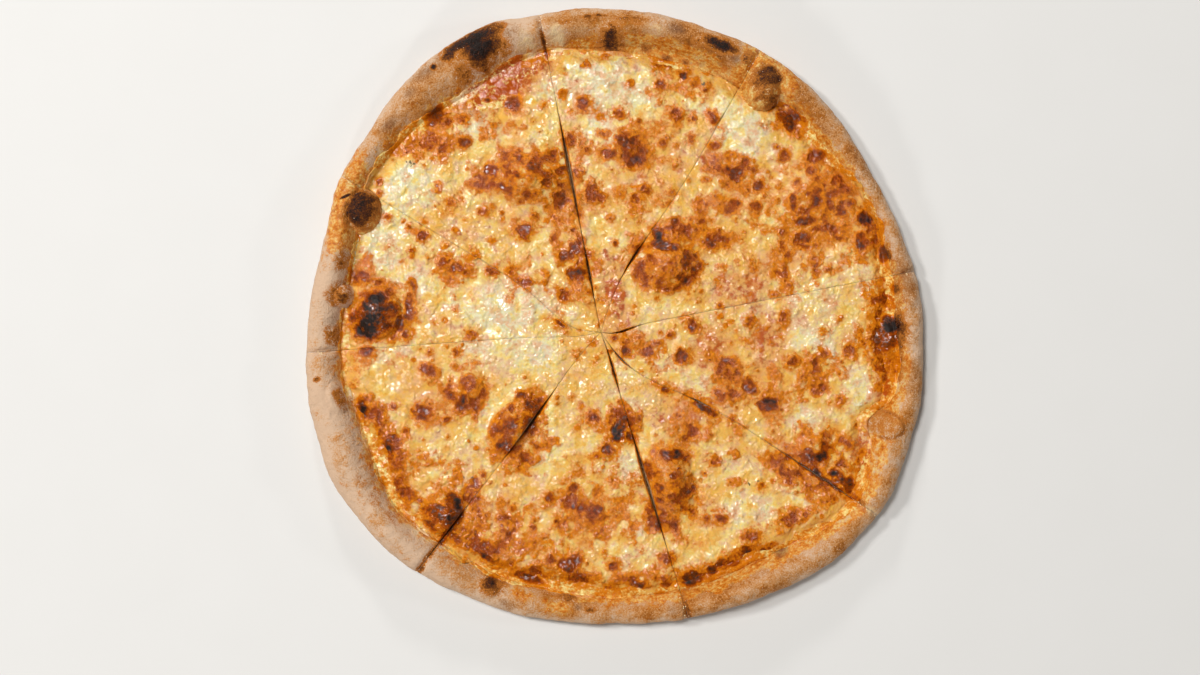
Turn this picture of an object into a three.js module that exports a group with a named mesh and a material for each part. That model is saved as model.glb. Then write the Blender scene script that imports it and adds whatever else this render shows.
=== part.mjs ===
// A round hearth-baked pizza, cut in eight and left together.
//
// Each slice is three solids that lie on each other: the dough with its puffed
// rim, the tomato sauce, and the melted cheese. All three are cut through, so
// that they show at every cut. Millimetres, +Z up, the flat underside at z = 0
// and the middle of the whole pizza over the origin.
//
// A slice is lofted in rows round the point where the cuts cross. Row k has one
// vertex more than row k - 1, from the tip out to the foot of the rim, and the
// three layers share those rows, so they keep the same clearance everywhere.

import * as THREE from 'three';

// ---------------------------------------------------------------- dimensions

const CUT_CENTRE = { x: -7.2, y: -8.0 };
const ANGLE_STEP = 10; // degrees between the values of the two lists below

// Radius of the pizza's outline round the cut centre, from +X, anticlockwise.
const OUTLINE = [
  166, 165, 162.5, 162, 164, 166, 166.5, 166, 166.4, 166.7, 166.3, 168.5,
  166.8, 163, 157.8, 156.3, 150.8, 150, 151.5, 154.5, 156, 158.3, 157.5, 156.5,
  153.5, 152, 150.7, 150.8, 152.3, 155.3, 159.5, 165.5, 169.8, 171.6, 169.3, 168.5,
];

// Radius out to which the sauce reaches, which is the foot of the rim.
const TOPPED = [
  151, 150, 151, 149, 147, 149, 145, 148, 149, 147, 148, 145,
  141, 142, 142, 140, 134, 132, 134, 135, 133, 135, 139, 137,
  136, 136, 135, 137, 138, 141, 143, 146, 153, 155, 149, 154,
];

// The cuts: angle at the rim, how far each turns towards the crossing, and the
// radius over which it does so. Openings are [radius, half length, width].
const CUTS = [
  { rim: 11, turn: -21, reach: 12, openings: [[12, 7, 0.8]] },
  { rim: 60.5, turn: 13, reach: 48, openings: [[42, 9, 1.0]] },
  { rim: 101, turn: 0.5, reach: 20, openings: [[32, 12, 1.0], [85, 20, 1.7]] },
  { rim: 149, turn: 30, reach: 25, openings: [] },
  { rim: 184, turn: 9, reach: 20, openings: [] },
  { rim: 232.5, turn: -6, reach: 30, openings: [[55, 12, 1.3], [140, 20, 1.6]] },
  { rim: 287, turn: 3, reach: 20, openings: [[20, 10, 0.9], [82, 22, 1.6]] },
  { rim: 326.5, turn: -24, reach: 39, openings: [[17, 7, 0.7], [62, 5, 0.8], [132, 20, 1.3]] },
];
const KERF = 0.4; // width of a closed cut

const FLOOR_MIDDLE = 3.2; // dough thickness at the crossing
const FLOOR_EDGE = 4.6; // and at the foot of the rim
const RIM_HEIGHT = 15.5;
const RIM_WAVES = [[0.7, 5, 10], [0.7, 11, 75], [0.4, 23, 30]]; // height, waves a turn, phase
const RIM_CREST = 0.54; // place of the crest across the rim's width
const RIM_WIDEST = 0.48; // height of the widest place, as a share of the crest's
const RIM_UNDERCUT = 11; // how far the flat underside stays inside the outline

// Where the rim puffed up more or less: [angle, half width in degrees, extra height].
const RIM_SWELLS = [
  [62, 9, 1.2], [92, 8, -1.2], [113, 15, 2.4], [136, 7, -1.8], [160, 9, 1.2], [176, 7, -1.2],
  [212, 22, 2.8], [274, 20, -1.8], [304, 12, 0.8], [322, 8, -1.4], [341, 9, 1.6], [14, 22, -2.2],
];

const CLEARANCE = 0.3; // between the layers
const SAUCE = 0.8; // thickness of the sauce
const SAUCE_EDGE = 0.4;
const CHEESE = 2.0; // thickness of the melted cheese
const CHEESE_EDGE = 0.9;
const CHEESE_SETBACK = 2; // the cheese stops this far short of the sauce

// Where more sauce stays bare at the rim: [angle, half width in degrees, extra setback].
const BARE_SAUCE = [[112, 9, 15], [262, 20, 4], [300, 9, 4], [0, 13, 5], [207, 13, 5], [38, 9, 3]];

// Bubbles that lift the dough: middle, half sizes, tilt of the first one, lift,
// and the slice that they end in where a cut runs through their edge.
const BUBBLES = [
  { x: -43, y: 72, a: 25, b: 17, tilt: -8, lift: 8, slice: 3 },
  { x: 4.6, y: 90.4, a: 11, b: 10, tilt: 0, lift: 2.6 },
  { x: 27.5, y: 28, a: 19, b: 19, tilt: 0, lift: 7, slice: 1 },
  { x: -121.5, y: 2, a: 12, b: 15, tilt: 0, lift: 8 },
  { x: -131, y: 54.3, a: 14, b: 14, tilt: 0, lift: 8 },
  { x: 79, y: 121.5, a: 12, b: 16, tilt: 15, lift: 7 },
  { x: 0.5, y: 144.5, a: 11, b: 11, tilt: 0, lift: 3.5 },
  { x: -51, y: -57, a: 16, b: 20, tilt: -30, lift: 7, slice: 5 },
  { x: 28, y: -84, a: 15, b: 25, tilt: 10, lift: 8, slice: 7 },
  { x: -88, y: -101, a: 14, b: 15, tilt: 30, lift: 6, slice: 5 },
  { x: 138, y: -55.4, a: 14, b: 12, tilt: 0, lift: 5 },
  { x: 144.5, y: -12, a: 10, b: 14, tilt: 0, lift: 3 },
  { x: -76, y: -38, a: 12, b: 12, tilt: 0, lift: 3 },
  { x: 102, y: 62, a: 22, b: 18, tilt: 20, lift: 2.2, slice: 1 },
  { x: 103, y: -66, a: 13, b: 12, tilt: 0, lift: 3.5, slice: 8 },
  { x: -75, y: 139, a: 17, b: 14, tilt: 35, lift: 3 },
  { x: -98, y: 104, a: 10, b: 10, tilt: 0, lift: 2.5 },
  { x: -144, y: -44, a: 10, b: 12, tilt: 0, lift: 2.5 },
];

// Pools where the mozzarella melted thick: middle, half sizes, extra thickness.
const POOLS = [
  { x: -7.7, y: 122.8, a: 30, b: 22, extra: 0.9 },
  { x: 67, y: 98.6, a: 20, b: 22, extra: 0.9 },
  { x: 106.6, y: -0.8, a: 18, b: 32, extra: 0.9 },
  { x: 124.6, y: 21.4, a: 12, b: 12, extra: 0.6 },
  { x: -118, y: 35, a: 16, b: 14, extra: 0.8 },
  { x: -110, y: 65, a: 14, b: 16, extra: 0.7 },
  { x: -53, y: 8.5, a: 30, b: 16, extra: 0.8 },
  { x: -49, y: -17.3, a: 30, b: 13, extra: 0.6 },
  { x: -88, y: 92, a: 20, b: 12, extra: 0.6 },
  { x: 67, y: -100.7, a: 16, b: 14, extra: 0.7 },
  { x: 126, y: -38, a: 14, b: 14, extra: 0.7 },
  { x: 11.3, y: -116, a: 14, b: 10, extra: 0.6 },
  { x: 40, y: -29.6, a: 18, b: 14, extra: 0.6 },
];

const COLOURS = {
  crust: { color: 0xd9a877, roughness: 0.85 },
  sauce: { color: 0xb8401c, roughness: 0.45 },
  cheese: { color: 0xf2c877, roughness: 0.35 },
};

// ---------------------------------------------------------------- resolution

const ROWS = 14; // rows of a slice from its tip to the edge of the cheese
const INNER_STEPS = 3; // rows up the inside of the rim
const OUTER_STEPS = 3; // from the crest to the widest place
const UNDER_STEPS = 2; // and from there down to the flat underside

// ------------------------------------------------------------ shape of a slice

const RAD = Math.PI / 180;

function mix(from, to, share) {
  return from + (to - from) * share;
}

function bell(distance, width) {
  return Math.exp(-((distance / width) ** 2));
}

// Shortest way round from one angle to the other, in degrees.
function turnBetween(angle, other) {
  return ((((angle - other) % 360) + 540) % 360) - 180;
}

// Smooth closed curve through values that stand ANGLE_STEP apart.
function aroundRim(values, angle) {
  const place = ((((angle % 360) + 360) % 360) / ANGLE_STEP);
  const first = Math.floor(place);
  const share = place - first;
  const [p, q, r, s] = [-1, 0, 1, 2].map(
    (step) => values[(first + step + values.length) % values.length],
  );
  const slopeIn = (r - p) / 2;
  const slopeOut = (s - q) / 2;
  const square = share * share;
  const cube = square * share;
  return (
    (2 * cube - 3 * square + 1) * q +
    (cube - 2 * square + share) * slopeIn +
    (3 * square - 2 * cube) * r +
    (cube - square) * slopeOut
  );
}

function cheeseRadius(angle) {
  const extra = BARE_SAUCE.reduce(
    (sum, [at, width, setback]) => sum + setback * bell(turnBetween(angle, at), width),
    CHEESE_SETBACK,
  );
  return aroundRim(TOPPED, angle) - extra;
}

function rimHeight(angle) {
  const swollen = RIM_SWELLS.reduce(
    (sum, [at, width, extra]) => sum + extra * bell(turnBetween(angle, at), width),
    RIM_HEIGHT,
  );
  return RIM_WAVES.reduce(
    (sum, [height, waves, phase]) => sum + height * Math.sin((waves * angle + phase) * RAD),
    swollen,
  );
}

function cutAngle(cut, radius) {
  return cut.rim + cut.turn * bell(radius, cut.reach);
}

function cutWidth(cut, radius) {
  return cut.openings.reduce(
    (sum, [at, length, width]) => sum + width * bell(radius - at, length),
    KERF,
  );
}

// Angles in radians of the slice's two cut faces at a radius.
function sliceSides(slice, radius) {
  const start = cutAngle(slice.from, radius) * RAD + cutWidth(slice.from, radius) / 2 / radius;
  const end = cutAngle(slice.to, radius) * RAD - cutWidth(slice.to, radius) / 2 / radius;
  return [start, end];
}

// The radius at which the two cut faces meet in the slice's tip.
function tipRadius(slice) {
  let radius = KERF;
  for (let round = 0; round < 20; round += 1) {
    const opening = (cutAngle(slice.to, radius) - cutAngle(slice.from, radius)) * RAD;
    radius = (cutWidth(slice.from, radius) + cutWidth(slice.to, radius)) / 2 / opening;
  }
  return radius;
}

// Height of a dome over an ellipse, level with its ground at the edge.
function dome(shape, x, y) {
  const cos = Math.cos((shape.tilt ?? 0) * RAD);
  const sin = Math.sin((shape.tilt ?? 0) * RAD);
  const along = ((x - shape.x) * cos + (y - shape.y) * sin) / shape.a;
  const across = ((y - shape.y) * cos - (x - shape.x) * sin) / shape.b;
  const rest = Math.max(0, 1 - along * along - across * across);
  return rest * rest;
}

function bubbleLift(slice, x, y) {
  return BUBBLES.reduce((sum, bubble) => {
    const lifts = bubble.slice === undefined || bubble.slice === slice.number;
    return lifts ? sum + bubble.lift * dome(bubble, x, y) : sum;
  }, 0);
}

function cheeseThickness(x, y) {
  return POOLS.reduce((sum, pool) => sum + pool.extra * dome(pool, x, y), CHEESE);
}

function floorThickness(share) {
  return mix(FLOOR_MIDDLE, FLOOR_EDGE, share ** 4);
}

// A point over the pizza, from the share of the way across a slice and a radius.
function placeAt(slice, share, radius, height) {
  const [start, end] = sliceSides(slice, radius);
  const angle = mix(start, end, share);
  const x = CUT_CENTRE.x + radius * Math.cos(angle);
  const y = CUT_CENTRE.y + radius * Math.sin(angle);
  return { x, y, z: height + bubbleLift(slice, x, y) };
}

// Rows of the dough's upper side, from the tip to the edge of the sauce.
function toppedRows(slice) {
  const tip = tipRadius(slice);
  const rows = [[placeAt(slice, 0.5, tip, FLOOR_MIDDLE)]];
  for (let row = 1; row <= ROWS + 1; row += 1) {
    const points = [];
    for (let column = 0; column <= row; column += 1) {
      const share = column / row;
      const angle = mix(slice.from.rim, slice.to.rim, share);
      const sauceEdge = aroundRim(TOPPED, angle);
      const radius = row > ROWS ? sauceEdge : (cheeseRadius(angle) * row) / ROWS;
      points.push(placeAt(slice, share, radius, floorThickness(radius / sauceEdge)));
    }
    rows.push(points);
  }
  return rows;
}

// Angles round the rim's section: 180 is the foot inside, 90 the crest, 0 the
// widest place, and -90 the edge of the flat underside.
function sectionAngles() {
  const angles = [];
  for (let step = 1; step <= INNER_STEPS; step += 1) angles.push(180 - (90 * step) / INNER_STEPS);
  for (let step = 1; step <= OUTER_STEPS; step += 1) angles.push(90 - (90 * step) / OUTER_STEPS);
  for (let step = 1; step <= UNDER_STEPS; step += 1) angles.push((-90 * step) / UNDER_STEPS);
  return angles;
}

function rimRows(slice) {
  const columns = ROWS + 1;
  return sectionAngles().map((section) => {
    const out = Math.cos(section * RAD);
    const up = Math.sin(section * RAD);
    const points = [];
    for (let column = 0; column <= columns; column += 1) {
      const share = column / columns;
      const angle = mix(slice.from.rim, slice.to.rim, share);
      const foot = aroundRim(TOPPED, angle);
      const outline = aroundRim(OUTLINE, angle);
      const crest = mix(foot, outline, RIM_CREST);
      const height = rimHeight(angle);
      const widest = height * RIM_WIDEST;
      if (section > 90) {
        const radius = crest + (crest - foot) * out;
        const rise = (height - FLOOR_EDGE) * up ** 1.2;
        points.push(placeAt(slice, share, radius, FLOOR_EDGE + rise));
      } else if (section >= 0) {
        const radius = crest + (outline - crest) * out;
        points.push(placeAt(slice, share, radius, mix(widest, height, up)));
      } else {
        const radius = outline - RIM_UNDERCUT * (1 - out);
        const point = placeAt(slice, share, radius, 0);
        points.push({ ...point, z: widest * (1 + up) });
      }
    }
    return points;
  });
}

// --------------------------------------------------------------- closed solids

class Shell {
  constructor() {
    this.positions = [];
    this.triangles = [];
  }

  vertex(point, height = point.z) {
    this.positions.push(point.x, point.y, height);
    return this.positions.length / 3 - 1;
  }

  rows(rows, height) {
    return rows.map((row) => row.map((point) => this.vertex(point, height?.(point))));
  }

  triangle(a, b, c, flipped = false) {
    this.triangles.push(...(flipped ? [a, c, b] : [a, b, c]));
  }

  // Fan and strips between rows that each have one vertex more than the last.
  wideningSheet(rows, flipped) {
    for (let row = 0; row + 1 < rows.length; row += 1) {
      const [inner, outer] = [rows[row], rows[row + 1]];
      for (let column = 0; column < inner.length; column += 1) {
        this.triangle(inner[column], outer[column], outer[column + 1], flipped);
        if (column + 1 < inner.length) {
          this.triangle(inner[column], outer[column + 1], inner[column + 1], flipped);
        }
      }
    }
  }

  // Quads between two rows of the same length.
  strip(inner, outer) {
    for (let column = 0; column + 1 < inner.length; column += 1) {
      this.triangle(inner[column], outer[column], outer[column + 1]);
      this.triangle(inner[column], outer[column + 1], inner[column + 1]);
    }
  }

  fan(middle, rim, flipped) {
    for (let place = 0; place + 1 < rim.length; place += 1) {
      this.triangle(middle, rim[place], rim[place + 1], flipped);
    }
  }

  mesh(name, { color, roughness }) {
    const geometry = new THREE.BufferGeometry();
    geometry.setAttribute('position', new THREE.Float32BufferAttribute(this.positions, 3));
    geometry.setIndex(this.triangles);
    geometry.computeVertexNormals();
    const material = new THREE.MeshStandardMaterial({ color, roughness, metalness: 0 });
    const mesh = new THREE.Mesh(geometry, material);
    mesh.name = name;
    return mesh;
  }
}

const firsts = (rows) => rows.map((row) => row[0]);
const lasts = (rows) => rows.map((row) => row[row.length - 1]);

// A layer between two heights over the same rows.
function layerMesh(name, rows, bottomHeight, topHeight, colours) {
  const shell = new Shell();
  const top = shell.rows(rows, topHeight);
  const bottom = shell.rows(rows, bottomHeight);
  shell.wideningSheet(top);
  shell.wideningSheet(bottom, true);
  shell.strip(firsts(top), firsts(bottom));
  shell.strip(lasts(bottom), lasts(top));
  shell.strip(top.at(-1), bottom.at(-1));
  return shell.mesh(name, colours);
}

// The dough of a slice: topped floor, rim, flat underside and two cut faces.
function crustMesh(slice, topped) {
  const shell = new Shell();
  const top = shell.rows(topped);
  const rim = shell.rows(rimRows(slice));
  shell.wideningSheet(top);
  [top.at(-1), ...rim.slice(0, -1)].forEach((row, place) => shell.strip(row, rim[place]));

  const tip = shell.vertex(topped[0][0], 0);
  const start = [tip, ...topped.slice(1).map((row) => shell.vertex(row[0], 0))];
  const end = [tip, ...topped.slice(1).map((row) => shell.vertex(row.at(-1), 0))];
  const foot = rim.at(-1);
  shell.triangle(tip, end[1], start[1]);
  shell.strip(start.slice(1), end.slice(1));
  shell.triangle(start.at(-1), end.at(-1), foot.at(-1));
  shell.fan(start.at(-1), [...foot].reverse());

  shell.strip(firsts(top), start);
  shell.strip(end, lasts(top));
  shell.fan(start.at(-1), [foot[0], ...firsts(rim).reverse().slice(1), top.at(-1)[0]]);
  shell.fan(end.at(-1), [top.at(-1).at(-1), ...lasts(rim)]);
  return shell.mesh(`crust_${slice.number}`, COLOURS.crust);
}

function sliceMeshes(slice) {
  const topped = toppedRows(slice);
  const covered = topped.slice(0, -1);
  const edge = new Set(topped.at(-1));
  const cheeseEdge = new Set(covered.at(-1));
  const sauceBottom = (point) => point.z + CLEARANCE;
  const sauceTop = (point) => sauceBottom(point) + (edge.has(point) ? SAUCE_EDGE : SAUCE);
  const cheeseBottom = (point) => sauceTop(point) + CLEARANCE;
  const cheeseTop = (point) =>
    cheeseBottom(point) + (cheeseEdge.has(point) ? CHEESE_EDGE : cheeseThickness(point.x, point.y));
  return [
    crustMesh(slice, topped),
    layerMesh(`sauce_${slice.number}`, topped, sauceBottom, sauceTop, COLOURS.sauce),
    layerMesh(`cheese_${slice.number}`, covered, cheeseBottom, cheeseTop, COLOURS.cheese),
  ];
}

// ------------------------------------------------------------------- the pizza

const pizza = new THREE.Group();
CUTS.forEach((from, place) => {
  const next = CUTS[(place + 1) % CUTS.length];
  const to = place + 1 < CUTS.length ? next : { ...next, rim: next.rim + 360 };
  pizza.add(...sliceMeshes({ number: place + 1, from, to }));
});

export default pizza;
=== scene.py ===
"""A margherita pizza, cut in eight and left together: baked dough, sauce and melted cheese.

Every slice is made of three meshes over one polar grid round the point where the cuts cross.
Heights and painted values (milk, sauce, toast, char and so on) are worked out in millimetres
with numpy and stored on the vertices, and the materials read them. Loose semolina, crumbs and
herb flecks are scattered by Geometry Nodes.
"""

import math
from typing import NamedTuple

import bpy
import numpy as np
from bpy.props import FloatProperty, FloatVectorProperty, IntProperty, PointerProperty
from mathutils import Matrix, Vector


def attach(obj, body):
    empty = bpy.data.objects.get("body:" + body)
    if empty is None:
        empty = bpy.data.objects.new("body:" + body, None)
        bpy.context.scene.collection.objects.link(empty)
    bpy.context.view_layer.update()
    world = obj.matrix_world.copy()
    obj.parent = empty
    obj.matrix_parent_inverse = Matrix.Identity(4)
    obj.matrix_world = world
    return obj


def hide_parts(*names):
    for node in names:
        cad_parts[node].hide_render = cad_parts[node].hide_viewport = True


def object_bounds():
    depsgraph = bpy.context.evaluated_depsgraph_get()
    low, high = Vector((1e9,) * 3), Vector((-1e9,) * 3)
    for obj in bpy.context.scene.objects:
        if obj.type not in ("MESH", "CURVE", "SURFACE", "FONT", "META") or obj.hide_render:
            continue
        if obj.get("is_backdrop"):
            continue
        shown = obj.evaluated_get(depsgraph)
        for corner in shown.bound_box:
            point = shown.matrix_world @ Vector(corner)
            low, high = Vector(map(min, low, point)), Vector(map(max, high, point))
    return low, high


bl_info = {
    "name": "Margherita pizza",
    "version": (1, 0, 0),
    "blender": (4, 5, 0),
    "location": "3D View > Sidebar > Pizza",
    "description": "Builds a sliced margherita pizza with its baked crust, sauce and melted cheese",
    "category": "Add Mesh",
}

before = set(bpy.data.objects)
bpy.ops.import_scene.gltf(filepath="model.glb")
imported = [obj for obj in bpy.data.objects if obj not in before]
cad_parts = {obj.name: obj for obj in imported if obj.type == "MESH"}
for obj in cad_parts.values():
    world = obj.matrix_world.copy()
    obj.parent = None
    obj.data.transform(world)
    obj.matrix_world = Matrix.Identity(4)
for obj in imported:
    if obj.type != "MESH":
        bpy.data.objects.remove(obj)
CAD_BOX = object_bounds()
ROOT = "root"
MM = 0.001
RAD = math.pi / 180

# ------------------------------------------------------------------ the pizza's sizes, in mm


class Cut(NamedTuple):
    """Angle at the rim, turn towards the crossing and its reach, and gaps.

    A gap is (radius, length, width).
    """

    rim: float
    turn: float
    reach: float
    openings: tuple = ()


class Slice(NamedTuple):
    number: int
    start: Cut
    end: Cut


class Mound(NamedTuple):
    """A raised ellipse; slice 0 lifts every slice that it reaches.

    With power 2 it swells softly, and with less it has a clear outline. With a top it is a blown
    blister with a surface of its own, whose middle is that high and which falls by its lift.
    """

    x: float
    y: float
    a: float
    b: float
    tilt: float
    lift: float
    slice: int = 0
    power: float = 2
    top: float = 0


class Spot(NamedTuple):
    """A painted ellipse and how strong it is, from 0 to 1."""

    x: float
    y: float
    a: float
    b: float
    tilt: float
    level: float


def mounds(*rows):
    return [Mound(*row) for row in rows]


def spots(*rows):
    return [Spot(*row) for row in rows]


CUT_CENTRE = (-7.2, -8.0)
ANGLE_STEP = 10
# Radius of the rim's outside and of its foot inside, every ANGLE_STEP from +X.
OUTLINE = np.array([
    166, 165, 162.5, 162, 164, 166, 166.5, 166, 166.4, 166.7, 166.3, 168.5,
    166.8, 163, 157.8, 156.3, 150.8, 150, 151.5, 154.5, 156, 158.3, 157.5, 156.5,
    153.5, 152, 150.7, 150.8, 152.3, 155.3, 159.5, 165.5, 169.8, 171.6, 169.3, 168.5,
])  # fmt: skip
TOPPED = np.array([
    151, 150, 151, 149, 147, 149, 145, 148, 149, 147, 148, 145,
    141, 142, 142, 140, 134, 132, 134, 135, 133, 135, 139, 137,
    136, 136, 135, 137, 138, 141, 143, 146, 153, 155, 149, 154,
])  # fmt: skip
CUTS = (
    Cut(11, -21, 12, ((12, 7, 0.8),)),
    Cut(60.5, 13, 48, ((42, 9, 1.0),)),
    Cut(101, 0.5, 20, ((32, 12, 1.0), (85, 20, 1.7))),
    Cut(149, 30, 25),
    Cut(184, 9, 20),
    Cut(232.5, -6, 30, ((55, 12, 1.2), (130, 14, 0.5))),
    Cut(287, 3, 20, ((20, 10, 0.9), (82, 22, 1.6))),
    Cut(326.5, -24, 39, ((17, 7, 0.7), (62, 5, 0.8), (132, 20, 0.6))),
)
FLOOR_MIDDLE = 3.2  # thickness of the dough below the toppings, in the middle and at the rim
FLOOR_EDGE = 4.6
RIM_HEIGHT = 15.5
RIM_WAVES = ((0.7, 5, 10), (0.7, 11, 75), (0.4, 23, 30))  # (height, waves, phase)
RIM_CREST = 0.54  # share of the way from the foot to the outline
RIM_WIDEST = 0.48  # share of the height
RIM_UNDERCUT = 11
# (angle, width, extra height)
RIM_SWELLS = (
    (62, 9, 1.2), (92, 8, -1.2), (113, 15, 2.4), (136, 7, -1.8), (160, 9, 1.2), (176, 7, -1.2),
    (212, 22, 2.8), (274, 20, -1.8), (304, 12, 0.8), (322, 8, -1.4), (341, 9, 1.6), (14, 22, -2.2),
)  # fmt: skip
# (angle, width, extra) where the inside of the rim rises gently.
RIM_GENTLE = ((15, 60, 0.75), (85, 20, 0.4), (135, 14, 0.4), (300, 20, 0.3))
RIM_SKIN = 0.7  # strength of the relief of the rim's skin
# (size, weight, octaves, seed) of that relief.
RIM_LUMPS = ((16, 1.2, 2, 11), (4.5, 0.45, 2, 21), (1.7, 0.12, 1, 31))
RIM_PINCH = 2.2  # how far the skin draws in at a cut
PINCH_WIDTH = 1.6
CHEESE_SETBACK = 2
# (angle, width, shift of its edge) where the cheese leaves sauce bare.
BARE_SAUCE = ((112, 9, -15), (262, 20, -2), (300, 9, -2), (0, 13, -2), (207, 13, -4), (38, 9, -1))
LAYER_GAP = 0.3  # the CAD's clearance between layers; here each layer takes half of it
SAUCE_THICKNESS = 0.8

# Bubbles of the dough, which lift what lies on them.
FLAT_BLISTER = Mound(137.8, -55.4, 10.5, 6.8, -18, 2.4, 0, 0.5)
BUBBLES = mounds(
    FLAT_BLISTER, (-43, 72, 25, 17, -8, 8, 3), (4.6, 90.4, 11, 10, 0, 2.6),
    (27.5, 28, 19, 19, 0, 7, 1), (-121.5, 2, 12, 14, 0, 7, 0, 0.9),
    (-131.2, 54.6, 11.6, 12.4, 0, 11, 0, 0.75, 17.5),
    (76.3, 118, 10.2, 12.4, -12, 12, 0, 0.72, 20.5), (0.4, 142.4, 11, 11, 0, 3, 0, 1.2),
    (-51, -57, 16, 20, -30, 7, 5), (28, -84, 15, 25, 10, 8, 7), (-88, -101, 14, 15, 30, 6, 5),
    (142.4, -12, 9, 11, 0, 3, 0, 1.4), (-76, -38, 12, 12, 0, 3), (102, 62, 22, 18, 20, 2.2, 1),
    (103, -66, 13, 12, 0, 3.5, 8), (-75, 139, 17, 14, 35, 2.5),
    (-68.3, 132.2, 8.4, 7.4, 25, 3, 0, 0.6), (-140.8, 11, 6.2, 6.6, 0, 9, 0, 0.55, 15.5),
    (-63.8, -139.4, 5.6, 4.6, -23, 1.6, 0, 0.8), (-98, 104, 10, 10, 0, 2.5),
    (-141.6, -41.3, 6, 8.5, 14, 2.8, 0, 0.7),
)  # fmt: skip
# Places where the cheese lies thicker.
POOLS = mounds(
    (-7.7, 122.8, 30, 22, 0, 0.9), (67, 98.6, 20, 22, 0, 0.9), (106.6, -0.8, 18, 32, 0, 0.9),
    (124.6, 21.4, 12, 12, 0, 0.6), (-118, 35, 16, 14, 0, 0.8), (-110, 65, 14, 16, 0, 0.7),
    (-53, 8.5, 30, 16, 0, 0.8), (-49, -17.3, 30, 13, 0, 0.6), (-88, 92, 20, 12, 0, 0.6),
    (67, -100.7, 16, 14, 0, 0.7), (126, -38, 14, 14, 0, 0.7), (11.3, -116, 14, 10, 0, 0.6),
    (40, -29.6, 18, 14, 0, 0.6),
)  # fmt: skip

# Thick white and oily yellow cheese, places where the sauce shows through, and browning.
MILKY = spots(
    (-10, 121.9, 25, 17, 0, 0.65), (13.8, 122.9, 12, 9, 0, 0.4), (63.4, 99.1, 14, 18, 0, 0.6),
    (107.1, -2.1, 16, 26, 0, 0.45), (125.9, 23.7, 8, 14, 0, 0.6), (125.9, -35.8, 10, 12, 0, 0.55),
    (99.1, -52.7, 13, 8, 0, 0.5), (-118.1, 37.6, 14, 13, 0, 0.5), (-107.2, 63.4, 14, 16, -40, 0.5),
    (-72.5, 99.1, 13, 9, 0, 0.5), (-52.6, 8.3, 26, 14, 0, 0.62), (-48.7, -17.9, 26, 10, 0, 0.42),
    (-99.3, 19.8, 10, 8, 0, 0.3), (-102.2, -105.2, 7, 13, -40, 0.5), (69.4, -101.3, 14, 11, 0, 0.6),
    (11.8, -114.2, 12, 10, 0, 0.3), (36.6, -28.9, 20, 7, -25, 0.4), (57.5, -75.5, 16, 8, -20, 0.25),
    (7.9, -76.5, 6, 9, 0, 0.4), (39.6, 87.2, 8, 8, 0, 0.3), (-29.8, 3.9, 14, 8, -20, 0.3),
    (-119.1, -19.9, 10, 8, 0, 0.3), (49.5, 117, 12, 8, 0, 0.3), (76, 6, 13, 10, 0, 0.25),
)  # fmt: skip
SAUCE_SHOWS = spots(
    (-55.6, 120.9, 22, 10, 28, 0.95), (-35.8, 126.9, 8, 7, 0, 0.5), (-2, 20.7, 8, 18, 0, 0.65),
    (2.9, -1.1, 9, 8, 0, 0.55), (55.5, 77.3, 14, 8, -30, 0.75), (65.4, 12.8, 15, 10, 0, 0.6),
    (88.2, 33.6, 12, 9, 0, 0.5), (79.3, -16, 9, 22, 0, 0.5), (101.1, -79.4, 20, 9, -35, 0.7),
    (-125.1, 16.5, 7, 6, 0, 0.6), (29.7, -49.7, 16, 10, 0, 0.5), (45.6, -17.9, 9, 11, 0, 0.4),
    (-63.5, -101.3, 14, 8, 30, 0.45), (-83.4, 41.6, 10, 6, 0, 0.4), (-21.9, 53.5, 8, 20, 0, 0.35),
    (19.8, 77.3, 16, 12, 0, 0.3), (65.4, -125.1, 18, 4, 24, 0.6), (139.8, 10.8, 5, 14, 0, 0.6),
    (138.3, -33.8, 4, 9, 0, 0.7), (125.9, -71.5, 6, 8, 0, 0.7),
)  # fmt: skip
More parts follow.
